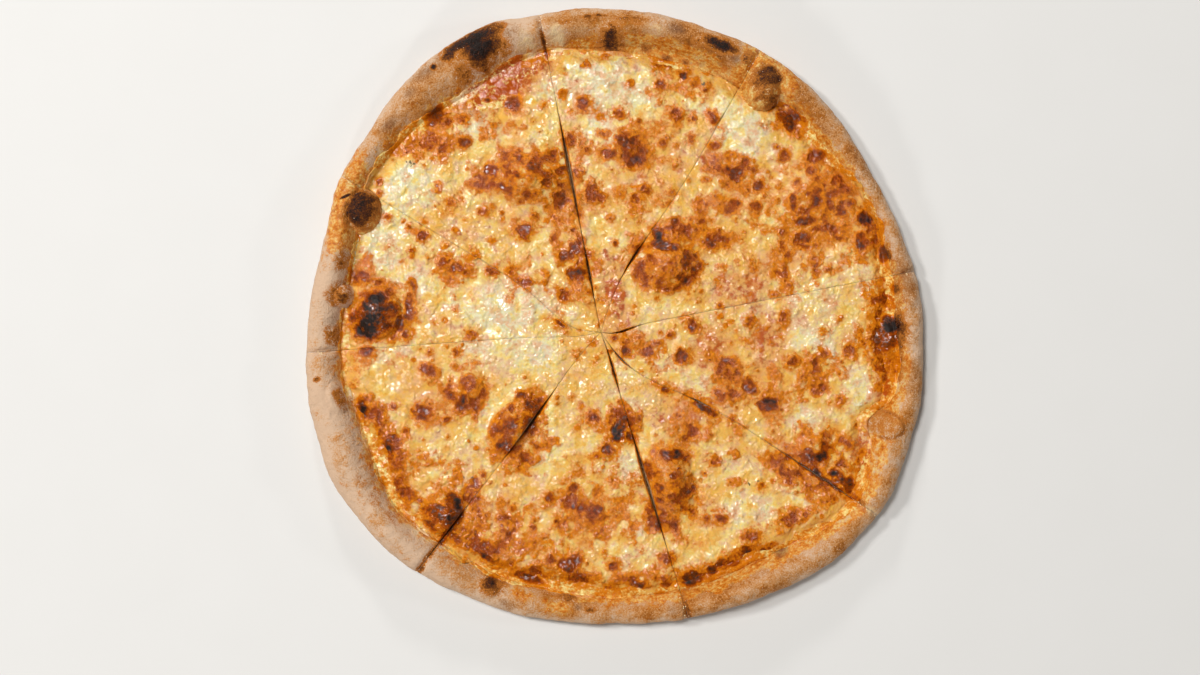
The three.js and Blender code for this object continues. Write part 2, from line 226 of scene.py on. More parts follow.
TOASTED = spots(
    (110, -78, 14, 10, -36, 0.8), (-7.7, 6, 7, 10, 0, 0.2), (-45.7, 72.3, 24, 15, -8, 0.5),
    (-65.5, 69.4, 14, 9, 0, 0.4), (-23.9, 65.4, 8, 22, 0, 0.4), (5.9, 89.2, 13, 11, 0, 0.42),
    (10.9, 82.2, 8, 6, 0, 0.44), (27.7, 41.6, 20, 10, 5, 0.5), (26.7, 25.7, 17, 15, 0, 0.31),
    (39.6, 21.7, 6, 12, 0, 0.5), (51.5, 39.6, 8, 7, 0, 0.5), (-119.1, 3.9, 15, 16, 0, 0.5),
    (-106.2, 4.9, 4, 12, 0, 0.62), (-50.7, -59.6, 12, 18, -30, 0.5),
    (-44.7, -72.5, 14, 4, 30, 0.42), (27.7, -85.4, 14, 22, 8, 0.38), (20.8, -103.3, 8, 8, 0, 0.5),
    (3.9, -57.6, 11, 12, -20, 0.55), (35.7, -57.6, 12, 6, 0, 0.45),
    (-87.4, -102.3, 12, 11, 0, 0.62), (104, -84, 16, 7, -33.5, 0.6),
    (-77.4, -114.2, 14, 7, -30, 0.5), (-73.5, -91.4, 6, 6, 0, 0.5), (111, 57.4, 20, 22, 10, 0.43),
    (96.2, 40.6, 12, 10, 0, 0.45), (86.2, 25.7, 5, 11, 0, 0.42), (103.1, 28.7, 5, 8, 0, 0.5),
    (92.2, 103.1, 8, 12, 20, 0.55), (61.4, 75.3, 14, 9, -35, 0.5), (103.1, -67.5, 14, 11, 0, 0.5),
    (93.2, -81.4, 22, 7, -36, 0.5), (117, -83.4, 12, 9, 0, 0.5), (-93.3, 103.1, 8, 8, 0, 0.6),
    (-94.3, 88.2, 12, 7, 0, 0.5), (137.8, -12, 9, 24, 0, 0.5), (137.8, -49.7, 8, 10, 0, 0.3),
    (134.9, 41.6, 8, 12, 0, 0.45), (19.8, -136, 26, 5, 4, 0.55), (-29.8, -132, 28, 6, -8, 0.45),
    (61.4, -127.1, 22, 5, 22, 0.55), (-125.1, -49.7, 8, 8, 0, 0.55), (-115.1, -63.6, 9, 9, 0, 0.5),
    (-112.2, -79.4, 5, 12, 10, 0.45), (-106.2, -92.3, 8, 4, -30, 0.45),
    (-76.4, -37.8, 12, 11, 0, 0.5), (-82.4, 25.7, 12, 8, 0, 0.42), (-49.7, 21.7, 10, 5, -30, 0.45),
    (-19.9, 29.7, 9, 17, 10, 0.55), (-33.8, 15.8, 14, 6, -35, 0.4),
    (-59.6, -109.2, 28, 14, -25, 0.34), (-10, -99.3, 28, 22, 0, 0.31),
    (71.4, 29.7, 46, 40, 0, 0.11), (59.5, -29.8, 38, 28, 0, 0.1), (87.2, 61.4, 28, 24, 0, 0.2),
    (57.5, -29.8, 10, 10, 0, 0.45), (65.4, -38.8, 12, 9, 0, 0.42), (103.1, -28.9, 10, 11, 0, 0.45),
    (12.8, -15, 12, 7, 0, 0.42), (-130, 21.7, 7, 7, 0, 0.55), (-62.6, 97.1, 14, 7, 0, 0.3),
    (91.2, -105.2, 12, 5, 25, 0.5), (36.6, 119.9, 15, 5, -15, 0.4), (25.7, 132.8, 5, 9, 30, 0.5),
    (55.5, 57.4, 22, 6, 0, 0.3), (-91.3, -79.4, 16, 14, 0, 0.2), (13.8, 61.4, 12, 8, 0, 0.25),
)  # fmt: skip
BLISTERS = spots(
    (-42.7, 77.1, 3.4, 3, 0, 0.86), (-64.2, 75.6, 5, 4, 0, 0.84), (-50.6, 73.1, 3, 2.8, 0, 0.8),
    (-55.9, 77.6, 3, 2.6, 0, 0.7), (-35.4, 68.8, 2.8, 3, 0, 0.8), (-29, 74.6, 3, 3, 0, 0.7),
    (-28, 60.9, 4.4, 6.5, -10, 0.86), (-61.3, 67.3, 2.6, 2.4, 0, 0.7), (-70.1, 67.8, 4, 4, 0, 0.6),
    (-77.9, 90.2, 3.8, 3.4, 0, 0.8), (-52.5, 109.3, 5, 4.4, 0, 0.76),
    (-65.7, 111.7, 2.4, 1.6, 0, 0.9), (-92.5, 104.1, 5, 6, -30, 0.82),
    (-95.3, 88.7, 7, 4, 15, 0.62), (-78.9, 102, 4, 3, 0, 0.62), (-88.6, 81.5, 3.4, 3, 0, 0.5),
    (-67.1, 93.2, 3.4, 3, 0, 0.45), (-84.9, 58.9, 3, 3, 0, 0.6), (-67.1, 54.1, 4, 3, 0, 0.55),
    (-16.4, 109.8, 4.6, 4, 20, 0.76), (-14.8, 130.5, 2.6, 2.6, 0, 0.5), (-27, 114.7, 3, 3, 0, 0.42),
    (-23.2, 91.2, 4, 4.4, 0, 0.72), (-18.4, 73.7, 3, 5, 0, 0.6), (-12.5, 64, 4, 7, 0, 0.7),
    (35.3, 124.9, 2.6, 2, 0, 0.8), (23.5, 119, 4, 3.4, 0, 0.68), (46.5, 116.7, 1.3, 1.3, 0, 0.95),
    (31.4, 104, 4, 4.6, 0, 0.72), (7.9, 120.5, 2.4, 2.4, 0, 0.5), (2, 104.9, 4, 3, 0, 0.66),
    (5, 90.2, 5, 5, 0, 0.86), (10.9, 82.2, 5, 3.4, 0, 0.74), (-3.8, 84.4, 6, 2.6, -10, 0.78),
    (50.9, 102, 3, 4, 20, 0.76), (24.5, 89.3, 2.6, 2.6, 0, 0.6), (39.2, 91.2, 2.6, 2.6, 0, 0.62),
    (50.9, 88.3, 3.4, 3, 0, 0.7), (62.6, 73.6, 5, 5, 0, 0.84), (74.3, 67.8, 4, 3.6, 0, 0.76),
    (47, 70.6, 3, 2.6, 0, 0.5), (15.7, 65.8, 3.2, 3.6, 0, 0.68), (10.4, 60.9, 3, 3, 0, 0.62),
    (-6.7, 60.9, 3, 4, 0, 0.7), (60.7, 57.1, 6, 3.6, 30, 0.62), (72.4, 57.1, 4, 3.4, 0, 0.74),
    (92, 103, 4, 6, 20, 0.72), (87.1, 82.4, 3.2, 3.4, 0, 0.66), (94, 68.8, 2.4, 2.4, 0, 0.6),
    (103.7, 82.4, 6, 4, 10, 0.76), (100.7, 75.6, 3, 3, 0, 0.62), (118, 65.4, 6, 4, 0, 0.66),
    (114, 70.3, 4, 4, 0, 0.62), (116, 54.5, 4.4, 4, 0, 0.78), (98.8, 49.2, 7, 3.4, 10, 0.78),
    (92, 58, 2, 5, 0, 0.78), (108.1, 45.5, 3.4, 3, 0, 0.7), (128.9, 50.2, 4.6, 4.2, 0, 0.96),
    (127.1, 39.5, 4, 5, 0, 0.84), (138.8, 32.1, 3.4, 5, 0, 0.86), (96.4, 40.5, 6, 5, 0, 0.76),
    (103.1, 28.7, 3, 5, 0, 0.56), (25.5, 36.4, 9, 3.2, -12, 0.9), (37.6, 31.7, 4, 3, -50, 0.8),
    (34.3, 20.1, 3.2, 3.6, 0, 0.78), (51.4, 39.5, 6, 5, 30, 0.78), (33.7, 45.5, 12, 4, 0, 0.66),
    (13.8, 19.8, 4, 8, 25, 0.62), (40.6, -4.6, 5, 3.4, -40, 0.84), (70, -2.6, 3.4, 3.4, 0, 0.62),
    (87, -0.7, 2.6, 4.4, 0, 0.66), (107.1, -7.9, 2.8, 2.8, 0, 0.45),
    (116.4, -0.7, 2.2, 2.2, 0, 0.42), (121.3, -18.2, 5, 5, 0, 0.62), (82.7, 11.5, 3, 2, 0, 0.6),
    (71.9, 24.3, 2, 2, 0, 0.5), (68.9, -36.8, 6, 5, 0, 0.76), (79.7, -45.1, 5.2, 4.8, 0, 1.0),
    (61.1, -40.8, 5, 5, 0, 0.6), (57.2, -28.9, 6, 6, 0, 0.6), (102.1, -28.9, 8, 8, 0, 0.5),
    (92.4, -23.1, 4.4, 3.4, 0, 0.7), (116.4, -43.6, 3.4, 3.2, 0, 0.58),
    (34.7, -21.1, 4, 4.6, 0, 0.76), (17.2, -18.2, 4.2, 3.6, 0, 0.72), (5.4, -17.2, 3.2, 3, 0, 0.76),
    (46.5, -47.5, 9, 2, -32, 0.9), (26, -37.7, 3.6, 1.8, -25, 0.82),
    (98.8, -71.1, 5.4, 4.6, 0, 0.8), (114.5, -82.8, 4, 4.4, 0, 0.78), (108.6, -62.3, 3, 4, 0, 0.6),
    (89.2, -80.4, 9, 3.4, -36, 0.72), (90.4, -105.7, 6, 3, 25, 0.6), (54.8, -104.2, 4, 3, -20, 0.7),
    (47, -104.2, 2.6, 2.4, 0, 0.62), (71, -113.2, 6, 3.6, 10, 0.7),
    (39.7, -134.6, 5.6, 3.6, 0, 1.0), (50.4, -130.6, 3, 2.4, 0, 0.92),
    (27.4, -124.9, 5, 4, 0, 0.62), (59.8, -127.8, 7, 2.4, 15, 0.66),
    (-0.9, -128.7, 3.4, 3, 0, 0.74), (-22.8, -127.8, 4.4, 7.6, -38, 0.92),
    (-33.5, -125.8, 4, 3.4, 0, 0.72), (-67.7, -122.9, 8, 2, -35, 0.8),
    (-45.2, -134.6, 9, 2.2, -14, 0.84), (-33.5, -94, 3.4, 3.2, 0, 0.76),
    (-22.8, -95.5, 6, 7, 0, 0.66), (-20.8, -97, 2.6, 2.8, 0, 0.94),
    (-9.1, -100.4, 3.6, 3.6, 0, 0.74), (-21.8, -88.7, 3.4, 3, 0, 0.7),
    (-4.1, -68.6, 4, 3.8, 0, 0.86), (1.8, -59.9, 4.6, 6.4, -15, 1.1), (7.9, -53.5, 4, 4, 0, 0.74),
    (-11, -52.5, 4, 4, 0, 0.72), (29.4, -71.1, 6.4, 3.2, 0, 1.08), (22.1, -88.2, 3.6, 3.2, 0, 0.76),
    (29.4, -92.6, 3.4, 3.4, 0, 0.74), (29.9, -81.8, 3, 2.4, 0, 0.66),
    (19.7, -105.2, 4.4, 4.4, 0, 0.66), (51.9, -74.5, 4, 3.4, 0, 0.6), (62.6, -85.7, 4, 3, 0, 0.45),
    (61.6, -71.1, 4, 3, 0, 0.42), (-53, -56.6, 4.4, 7, -25, 0.8), (-44.2, -55.4, 4.6, 6, -30, 0.82),
    (-56.9, -64.3, 6.6, 3.6, 30, 0.8), (-53, -47.7, 2.6, 2.6, 0, 0.8),
    (-78.4, -43.3, 4, 3.8, 0, 0.82), (-75.5, -33.8, 6, 5, 0, 0.6),
    (-98.7, -49.9, 5.6, 5.4, 0, 0.76), (-96, -27.9, 6.4, 3.6, -30, 0.7),
    (-47.1, 44.1, 4.8, 4.8, 0, 0.84), (-99.3, 41.9, 3.4, 3.4, 0, 0.76),
    (-88.6, 28.2, 3.4, 3.2, 0, 0.7), (-81.8, 25.2, 4, 4.6, 0, 0.76),
    (-63.2, 23.3, 3.8, 2.6, 0, 0.76), (-20.2, 34.6, 4, 5, 20, 0.78), (-18.3, 20.7, 3, 6, 10, 0.72),
    (-74.1, -9.4, 4, 3, 10, 0.56), (-81.8, -18.2, 2.6, 2.6, 0, 0.56),
    (-28.3, -3.5, 4, 1.2, -38, 0.86), (-128, -17.9, 5.6, 3.2, 8, 0.76),
    (-108.2, -9, 2.8, 2.8, 0, 0.72), (-106.2, 5.9, 2.6, 9, 0, 0.78), (-124.9, -50.1, 5, 4, 0, 0.66),
    (-115.5, -63.6, 5, 4.6, 0, 0.78), (-111.7, -72.5, 2.6, 6, 15, 0.66),
    (-73.6, -91.6, 3.6, 3.4, 0, 0.64), (-129.5, 20.7, 3.4, 3.4, 0, 0.74),
    (-91.3, 65.4, 2.6, 2.6, 0, 0.42), (-41.7, 51.5, 3, 3, 0, 0.5), (-120, 1.6, 12.4, 13.4, 0, 0.6),
    (-122.6, 1.4, 11, 15, -10, 0.84), (-124, 1, 9.5, 15, -18, 1.0), (-122.6, 8.4, 6, 6.4, 0, 1.16),
    (-127.6, -5, 6.4, 7.6, -20, 1.22), (-119.4, -1, 3.4, 4.4, 0, 0.95), (-111, -4, 3, 5, 0, 0.84),
    (107.9, -84.2, 17, 1.9, -33.5, 0.85), (-86, -111, 14, 2, 52.5, 0.86),
    (-85, -104, 7, 7, 0, 0.84), (-90.4, -99.6, 4, 5, 0, 0.9), (-81, -99, 3.4, 3.4, 0, 0.86),
)  # fmt: skip


def from_centre(angle, radius):
    """x and y of a point round the place where the cuts cross."""
    x = CUT_CENTRE[0] + radius * math.cos(angle * RAD)
    y = CUT_CENTRE[1] + radius * math.sin(angle * RAD)
    return x, y


def along_rim(*rows):
    """Spots from rows of (angle, radius, half width along the rim, half depth, level)."""
    marks = []
    for angle, radius, wide, deep, level in rows:
        marks.append(Spot(*from_centre(angle, radius), wide, deep, angle - 90, level))
    return marks


# Browned and burnt places of the rim, soot on it, oil that soaked into it, and pale bare dough.
RIM_CHAR = along_rim(
    (113.1, 157.2, 9, 7.4, 1.25), (113.8, 163.4, 13.5, 3.2, 1.25), (114, 160, 10, 6, 0.7),
    (118.9, 161.4, 3.6, 2.6, 1.0), (113.5, 157.5, 13, 9, 0.42), (122.3, 160.4, 1.6, 1.8, 1.2),
    (117.9, 150.2, 4.6, 5, 0.5), (96.6, 159.9, 3, 1.5, 0.5), (92.5, 161.6, 3, 1.1, 0.6),
    (90, 162.4, 4, 0.9, 0.6), (86, 161.2, 4, 1.1, 0.6), (83.5, 159.6, 3, 1.2, 0.5),
    (89.2, 141.9, 2.4, 1.8, 0.5), (67.4, 159.1, 8.6, 3.4, 1.15), (71.7, 156.4, 3, 2.4, 0.42),
    (62, 158.4, 3, 4, 0.5), (53.4, 146, 3.4, 3.6, 0.5), (48.8, 145.4, 5, 8, 0.42),
    (49, 149.9, 3, 3, 0.6), (39.5, 143.1, 2.2, 3.8, 0.66), (29, 135.4, 3.6, 2.2, 0.66),
    (33.5, 132.4, 6, 5, 0.42), (22.5, 148.8, 3.9, 3.4, 0.98), (22.5, 148, 6.6, 5, 0.45),
    (19.4, 142.6, 3.6, 3, 0.72), (15.3, 151.9, 3.8, 2.2, 0.95), (8.4, 153.4, 3.4, 2.2, 0.66),
    (5.5, 147.2, 2.6, 3.4, 0.5), (359.6, 147.9, 9, 9, 0.8), (1.2, 149.9, 5, 6, 1.15),
    (357, 143.4, 6, 5, 0.5), (354, 153.4, 9, 3, 0.5), (353, 148.4, 5, 4, 0.5),
    (334.2, 148.4, 5, 2, 0.45), (327, 154.4, 1.6, 9, 0.5), (290.2, 135.6, 4.6, 3.6, 1.05),
    (295.2, 135.7, 3, 2.4, 0.74), (287.3, 150.4, 1.4, 6, 0.55), (267.8, 142.6, 2.6, 1.9, 0.6),
    (262.7, 137.6, 5, 1.8, 0.5), (254, 133.4, 6, 2, 0.6), (246.7, 141.6, 5.6, 4.6, 0.62),
    (246.3, 140.4, 3.6, 3, 0.95), (232.6, 151.9, 1.8, 3, 0.66), (232.5, 143, 1.5, 9, 0.46),
    (221.5, 143.2, 5, 2.3, 0.2), (216.5, 143.9, 5, 2.6, 0.2), (212, 144.4, 5, 2.6, 0.16),
    (189.5, 147.4, 1.4, 1.8, 0.6), (194, 138.2, 5, 2.8, 0.42), (181, 137, 4.4, 4, 0.42),
    (172, 135.8, 5.2, 5, 0.45), (164.6, 137.8, 6, 2.6, 0.34), (165, 137.4, 1.6, 1.4, 0.7),
    (127.9, 139.8, 7.4, 4, 0.74), (138.6, 142.4, 4, 3.4, 0.42), (136, 136.7, 6, 2.6, 0.5),
    (131.3, 134.8, 6, 2.6, 0.5), (101.2, 150.4, 1.1, 7, 0.8), (104, 143.9, 5, 2, 0.4),
    (81, 148.4, 3, 2, 0.5), (76.5, 145.4, 3, 2, 0.55), (72.6, 146.4, 2, 1.6, 0.5),
    (72.2, 138.8, 2, 1.8, 0.95),
)  # fmt: skip
# Browning of the blown blisters of the rim, whose edges are clear.
RIM_BLISTERS = spots(
    (-131.2, 54.6, 12, 12.4, 0, 0.08), (-130.8, 54.6, 9, 10, 0, 0.62),
    (-130.6, 54.6, 7.8, 9, 0, 0.84), (-130, 58, 4.8, 4.4, 0, 1.0),
    (-133.6, 52.4, 4.4, 3.4, 0, 0.96), (-138, 61.4, 3.2, 1, 25, 1.15),
    (76.3, 118, 9.8, 12, -12, 0.08), (76.2, 120.6, 8, 9, -20, 0.36), (79.4, 124, 6.2, 5, -20, 0.82),
    (74.6, 120.4, 4.6, 4, 0, 0.56), (80.8, 110.6, 3.4, 2.2, -40, 0.56),
    (77.6, 112, 8, 1.2, 10, 0.5), (-2, 142.2, 7.5, 8, 0, 0.4), (-2.3, 142.2, 4.6, 6.4, -10, 0.72),
    (-2.6, 142.6, 3, 4.4, -10, 0.9), (137.8, -55.4, 10.4, 6.6, -18, 0.2),
    (-140.8, 11, 5.6, 6, 0, 0.3), (-139.6, 9.3, 3, 3, 0, 0.62),
)  # fmt: skip
SOOT = along_rim(
    (135.6, 152.4, 6.5, 3, 0.6), (128.6, 156.9, 4.4, 3, 0.55), (123.5, 160.4, 10, 3.4, 0.6),
    (118.4, 161.9, 8, 3.6, 0.7), (117.8, 151.4, 4.6, 5, 0.62), (107.5, 160, 7, 4.4, 0.5),
    (76, 160, 5, 3, 0.7), (63.8, 155.9, 5, 3.4, 0.65), (67.4, 158.4, 9, 5, 0.35),
    (41.6, 155.4, 7, 4, 0.3), (31.2, 152.4, 4, 3, 0.4), (15.3, 152, 5.4, 3.6, 0.4),
    (314.8, 147.4, 2.6, 2, 0.9), (310, 145.4, 3.8, 3, 0.85), (250.8, 147.4, 5, 3, 0.5),
    (284.5, 147.4, 4, 3, 0.45), (265.3, 141.7, 2.2, 1.8, 0.6), (194, 138.2, 5.4, 3, 0.4),
    (181, 137, 4.6, 4.4, 0.4), (177.5, 138.4, 3, 3, 0.4), (88.2, 150.4, 6, 8, 0.3),
    (50, 159, 10, 3, 0.2), (33, 159, 14, 4, 0.34), (10, 158, 16, 7, 0.44), (352, 161, 12, 6, 0.36),
    (304, 148.4, 8, 4, 0.2), (211, 141.4, 6, 3, 0.12), (172.4, 137.9, 3.4, 3, 0.4),
)  # fmt: skip
STAINS = along_rim(
    (146, 148.4, 6, 5, 0.8), (139, 143.4, 8, 7, 0.7), (134, 138, 14, 7, 0.95),
    (48, 144.4, 9, 10, 0.7), (38, 141.4, 10, 9, 0.6), (28, 142.4, 13, 10, 0.85),
    (20, 146.4, 8, 7, 0.75), (8, 144.4, 8, 9, 0.85), (0, 146.4, 8, 9, 0.8),
    (352, 146.4, 10, 9, 0.85), (336, 149.4, 10, 8, 0.75), (328, 148.4, 7, 11, 0.8),
    (321, 145.4, 8, 8, 0.65), (305, 141.4, 9, 4, 0.5), (292, 139.4, 9, 5, 0.7),
    (283, 138.4, 9, 4, 0.7), (272, 137.4, 9, 4, 0.5), (261, 142.4, 6, 4, 0.65),
    (252, 139.4, 9, 3, 0.55), (240, 134.4, 9, 4, 0.4), (211, 135.4, 11, 3, 0.45),
    (90, 146.4, 12, 4, 0.35), (79, 143.4, 9, 6, 0.7), (70, 145.4, 8, 4, 0.45),
    (101, 141.4, 5, 4, 0.6), (165, 132.4, 9, 4, 0.4), (188, 131.4, 6, 3, 0.35),
    (57, 142.4, 10, 5, 0.4), (346, 146.4, 7, 6, 0.6), (341.8, 151.4, 10, 12, 0.5),
    (178, 129.4, 8, 3, 0.3), (153.3, 139.1, 20, 19, 1.4), (57.8, 151, 15, 17, 1.4),
    (88.2, 148, 13, 9, 0.8),
)  # fmt: skip
PALE_DOUGH = along_rim(
    (119, 140.8, 11, 2.8, 0.85), (109, 142.4, 10, 3, 0.9), (104, 150.4, 4.6, 9, 0.7),
    (98.4, 150.4, 4.6, 9, 0.8), (93.5, 154.4, 6, 5, 0.4), (64, 144.9, 7, 5, 0.75),
    (69.5, 147.4, 6, 3, 0.5), (52.4, 147.4, 2.6, 9, 0.75), (54, 145.6, 6, 5, 0.85),
    (57, 141.9, 7, 1.8, 0.7), (227, 138, 8, 3, 0.9), (226.5, 133.6, 9, 5, 0.9),
    (234, 139.4, 2, 6, 0.4), (297, 139.4, 5, 2, 0.5), (289.5, 141.4, 3, 4, 0.5),
    (266, 135.9, 7, 2, 0.5), (196, 132.8, 9, 2, 0.8), (172, 129, 7, 2, 0.8),
    (326.5, 162.4, 2.6, 8, 0.8), (337, 145.4, 4, 7, 0.5), (280, 140.9, 6, 2, 0.4),
    (80, 156.4, 8, 4, 0.5), (341.8, 151.4, 6, 9, 0.35), (204, 135.4, 8, 2, 0.5),
    (146, 138.4, 4, 6, 0.3),
)  # fmt: skip
# Thin folds round the blown blisters of the rim, sunk and painted darker as shade in the crease:
# (middle's angle, radius, size, strength).
FOLDS = (
    (56.2, 151, 12.8, 1), (56.2, 150, 15.5, 0.6), (88.2, 153, 13.4, 0.6), (193.9, 138.5, 8.8, 0.4),
)  # fmt: skip

# ------------------------------------------------------------------ what a user would change


def colour(code):
    """The linear colour of a six-digit web colour."""
    shares = [int(code[at : at + 2], 16) / 255 for at in (0, 2, 4)]
    return tuple(s / 12.92 if s <= 0.04045 else ((s + 0.055) / 1.055) ** 2.4 for s in shares)


def length(name, description, default):
    return FloatProperty(name=name, description=description, default=default * MM, unit="LENGTH")


def tint(name, description, code):
    return FloatVectorProperty(
        name=name,
        description=description,
        default=colour(code),
        subtype="COLOR",
        size=3,
        min=0,
        max=1,
    )


class PizzaSizes(bpy.types.PropertyGroup):
    """Sizes of the layers and of what is scattered on them."""

    cheese_rows: IntProperty(
        name="Cheese rows",
        description="Rows of faces from a slice's tip to the edge of its cheese",
        default=240,
        min=30,
    )
    rim_columns: IntProperty(
        name="Rim columns",
        description="Faces along the rim of a slice",
        default=230,
        min=30,
    )
    cheese_thickness: length("Cheese thickness", "Of the melted cheese away from its pools", 2.0)
    cheese_roll: length("Cheese edge", "Width over which the cheese thins out at its edge", 8)
    closed_cut: length("Closed cut", "Width of a cut where the slices touch again", 0.1)
    small_blisters: IntProperty(
        name="Small blisters",
        description="Number of little browned blisters all over the cheese",
        default=700,
        min=0,
    )
    grain_size: length("Semolina", "Width of a grain of semolina on the rim", 0.55)
    herb_size: length("Herb flecks", "Length of a fleck of dried herb", 2.2)
    crumb_size: length("Crumbs", "Width of a crumb at the cuts", 0.9)


class PizzaColours(bpy.types.PropertyGroup):
    """Colours of the dough, the sauce and the cheese."""

    flour: tint("Flour", "Floury dough on the outside of the rim", "CDAC8E")
    dough: tint("Baked dough", "Lightly baked dough", "BE864F")
    toasted: tint("Toasted dough", "Dough browned by the oven", "AE6824")
    crumb: tint("Crumb", "Pale dough, bare or where it is cut", "EBD3A4")
    scorched: tint("Scorched dough", "Well browned dough", "74400F")
    dark: tint("Dark dough", "Dough about to burn", "4A2410")
    soot: tint("Soot", "Soot on the rim", "684A38")
    char: tint("Char", "Burnt blisters", "1B0D06")
    tomato: tint("Tomato", "Cooked tomato sauce", "A84004")
    blush: tint("Blush", "Cheese with the sauce shining through", "D69860")
    cream: tint("Mozzarella", "Thick melted mozzarella", "DDD3AC")
    butter: tint("Oily mozzarella", "Mozzarella soaked with oil", "E5CA7E")
    gold: tint("Thin cheese", "Thin cheese coloured by oil and sauce", "DFA950")
    amber: tint("Golden cheese", "Cheese that starts to brown", "CB720A")
    rust: tint("Browned cheese", "Well browned cheese", "9A4202")
    umber: tint("Dark cheese", "Cheese about to burn", "602A04")
    herb: tint("Herb", "Dried herb", "6E5A34")
    floor: tint("Floor", "Plain floor under the pizza", "DAD8D4")


# ------------------------------------------------------------------ numbers over the pizza


def mix(start, end, share):
    return start + (end - start) * share


def smooth(low, high, value):
    """0 below low, 1 above high, eased in between. low may be the larger one."""
    share = np.clip((value - low) / (high - low), 0, 1)
    return share * share * (3 - 2 * share)


def bell(distance, width):
    return np.exp(-((distance / width) ** 2))


def turn_between(angle, other):
    return (angle - other + 540) % 360 - 180


def swelled(value, rows, angle):
    """A value round the rim plus the bells of rows of (angle, width, height)."""
    for at, width, height in rows:
        value = value + height * bell(turn_between(angle, at), width)
    return value


def around_rim(values, angle):
    """A smooth closed curve through values that stand ANGLE_STEP apart."""
    steps = (angle % 360) / ANGLE_STEP
    first = np.floor(steps).astype(int)
    share = steps - first
    p, q, r, s = (values[(first + step) % len(values)] for step in (-1, 0, 1, 2))
    square, cube = share**2, share**3
    return (
        (2 * cube - 3 * square + 1) * q
        + (cube - 2 * square + share) * (r - p) / 2
        + (3 * square - 2 * cube) * r
        + (cube - square) * (s - q) / 2
    )


NOISE_CELLS = 512


def lumps(x, y, size, seed, octaves=1):
    """Smooth random values from -1 to 1 over the plane, with features of that size."""
    total, weight, weights = 0, 1, 0
    for octave in range(octaves):
        grid = np.random.default_rng(seed + octave).uniform(-1, 1, (NOISE_CELLS, NOISE_CELLS))
        u, v = x / size * 2**octave, y / size * 2**octave
        i, j = np.floor(u).astype(int), np.floor(v).astype(int)
        su, sv = smooth(0, 1, u - i), smooth(0, 1, v - j)
        i0, j0 = i % NOISE_CELLS, j % NOISE_CELLS
        i1, j1 = (i + 1) % NOISE_CELLS, (j + 1) % NOISE_CELLS
        near = mix(grid[i0, j0], grid[i1, j0], su)
        far = mix(grid[i0, j1], grid[i1, j1], su)
        total = total + weight * mix(near, far, sv)
        weights += weight
        weight /= 2
    return total / weights


def reach(shape, x, y):
    """Distance from a shape's middle: 0 there and 1 on its edge."""
    cos, sin = math.cos(shape.tilt * RAD), math.sin(shape.tilt * RAD)
    along = ((x - shape.x) * cos + (y - shape.y) * sin) / shape.a
    across = ((y - shape.y) * cos - (x - shape.x) * sin) / shape.b
    return np.hypot(along, across)


def dome(shape, x, y):
    return np.maximum(0, 1 - reach(shape, x, y) ** 2) ** shape.power


WARP_ROOM = 1.8  # how much wider than itself a spot with wandering edges may be


def painted(marks, x, y, warp, soft):
    """The strongest of some spots, with edges that wander by the values in warp."""
    level = np.zeros_like(x)
    for spot in marks:
        wide = max(spot.a, spot.b) * (1 + soft) * WARP_ROOM
        near = np.flatnonzero((abs(x - spot.x) < wide) & (abs(y - spot.y) < wide))
        away = reach(spot, x[near], y[near]) * (1 + warp[near])
        level[near] = np.maximum(level[near], spot.level * smooth(1 + soft, 1 - soft, away))
    return level


# ------------------------------------------------------------------ shape of a slice


def all_slices():
    for number, start in enumerate(CUTS, 1):
        end = CUTS[number % len(CUTS)]
        if end.rim < start.rim:
            end = end._replace(rim=end.rim + 360)
        yield Slice(number, start, end)


def cut_angle(cut, radius):
    return cut.rim + cut.turn * bell(radius, cut.reach)


def cut_width(cut, radius, closed):
    width = closed
    for at, length_along, opening in cut.openings:
        width = width + opening * bell(radius - at, length_along)
    return width


TIP_STEPS = 20


def tip_radius(piece, closed):
    """Radius at which the two cut faces of a slice meet."""
    radius = 1.0
    for _ in range(TIP_STEPS):
        opening = (cut_angle(piece.end, radius) - cut_angle(piece.start, radius)) * RAD
        radius = (cut_width(piece.start, radius, closed) + cut_width(piece.end, radius, closed)) / 2
        radius /= opening
    return radius


def place(piece, share, radius, closed):
    """x and y of the points at a share of the way across a slice and a radius."""
    sides = []
    for cut, side in ((piece.start, 1), (piece.end, -1)):
        half = cut_width(cut, radius, closed) / 2 / radius
        sides.append(cut_angle(cut, radius) * RAD + side * half)
    angle = mix(sides[0], sides[1], share)
    return CUT_CENTRE[0] + radius * np.cos(angle), CUT_CENTRE[1] + radius * np.sin(angle)


def cut_open(piece, share, radius):
    """Opening in mm of the nearer cut, without the width that it has everywhere."""
    return np.where(share < 0.5, cut_width(piece.start, radius, 0), cut_width(piece.end, radius, 0))


def from_cut(piece, share, radius):
    """Distance in mm to the nearer cut face."""
    width = (cut_angle(piece.end, radius) - cut_angle(piece.start, radius)) * RAD * radius
    return np.minimum(share, 1 - share) * width


def rim_angle(piece, share):
    return mix(piece.start.rim, piece.end.rim, share)


def cheese_radius(angle):
    return swelled(around_rim(TOPPED, angle) - CHEESE_SETBACK, BARE_SAUCE, angle)


def rim_height(angle):
    height = swelled(RIM_HEIGHT, RIM_SWELLS, angle)
    for size, waves, phase in RIM_WAVES:
        height = height + size * np.sin((waves * angle + phase) * RAD)
    return height


def inner_rise(share, angle):
    """How the inside of the rim rises from its foot, 0, to its crest, 1."""
    gentle = np.minimum(swelled(0.25, RIM_GENTLE, angle), 1)
    return mix((1 - (1 - share) ** 2) ** 0.6, smooth(0, 1, share) ** 0.7, gentle)


def bubble_lift(piece, x, y):
    lift = np.zeros_like(x)
    for bubble in BUBBLES:
        if bubble.slice in (0, piece.number) and not bubble.top:
            lift += bubble.lift * dome(bubble, x, y)
    return lift


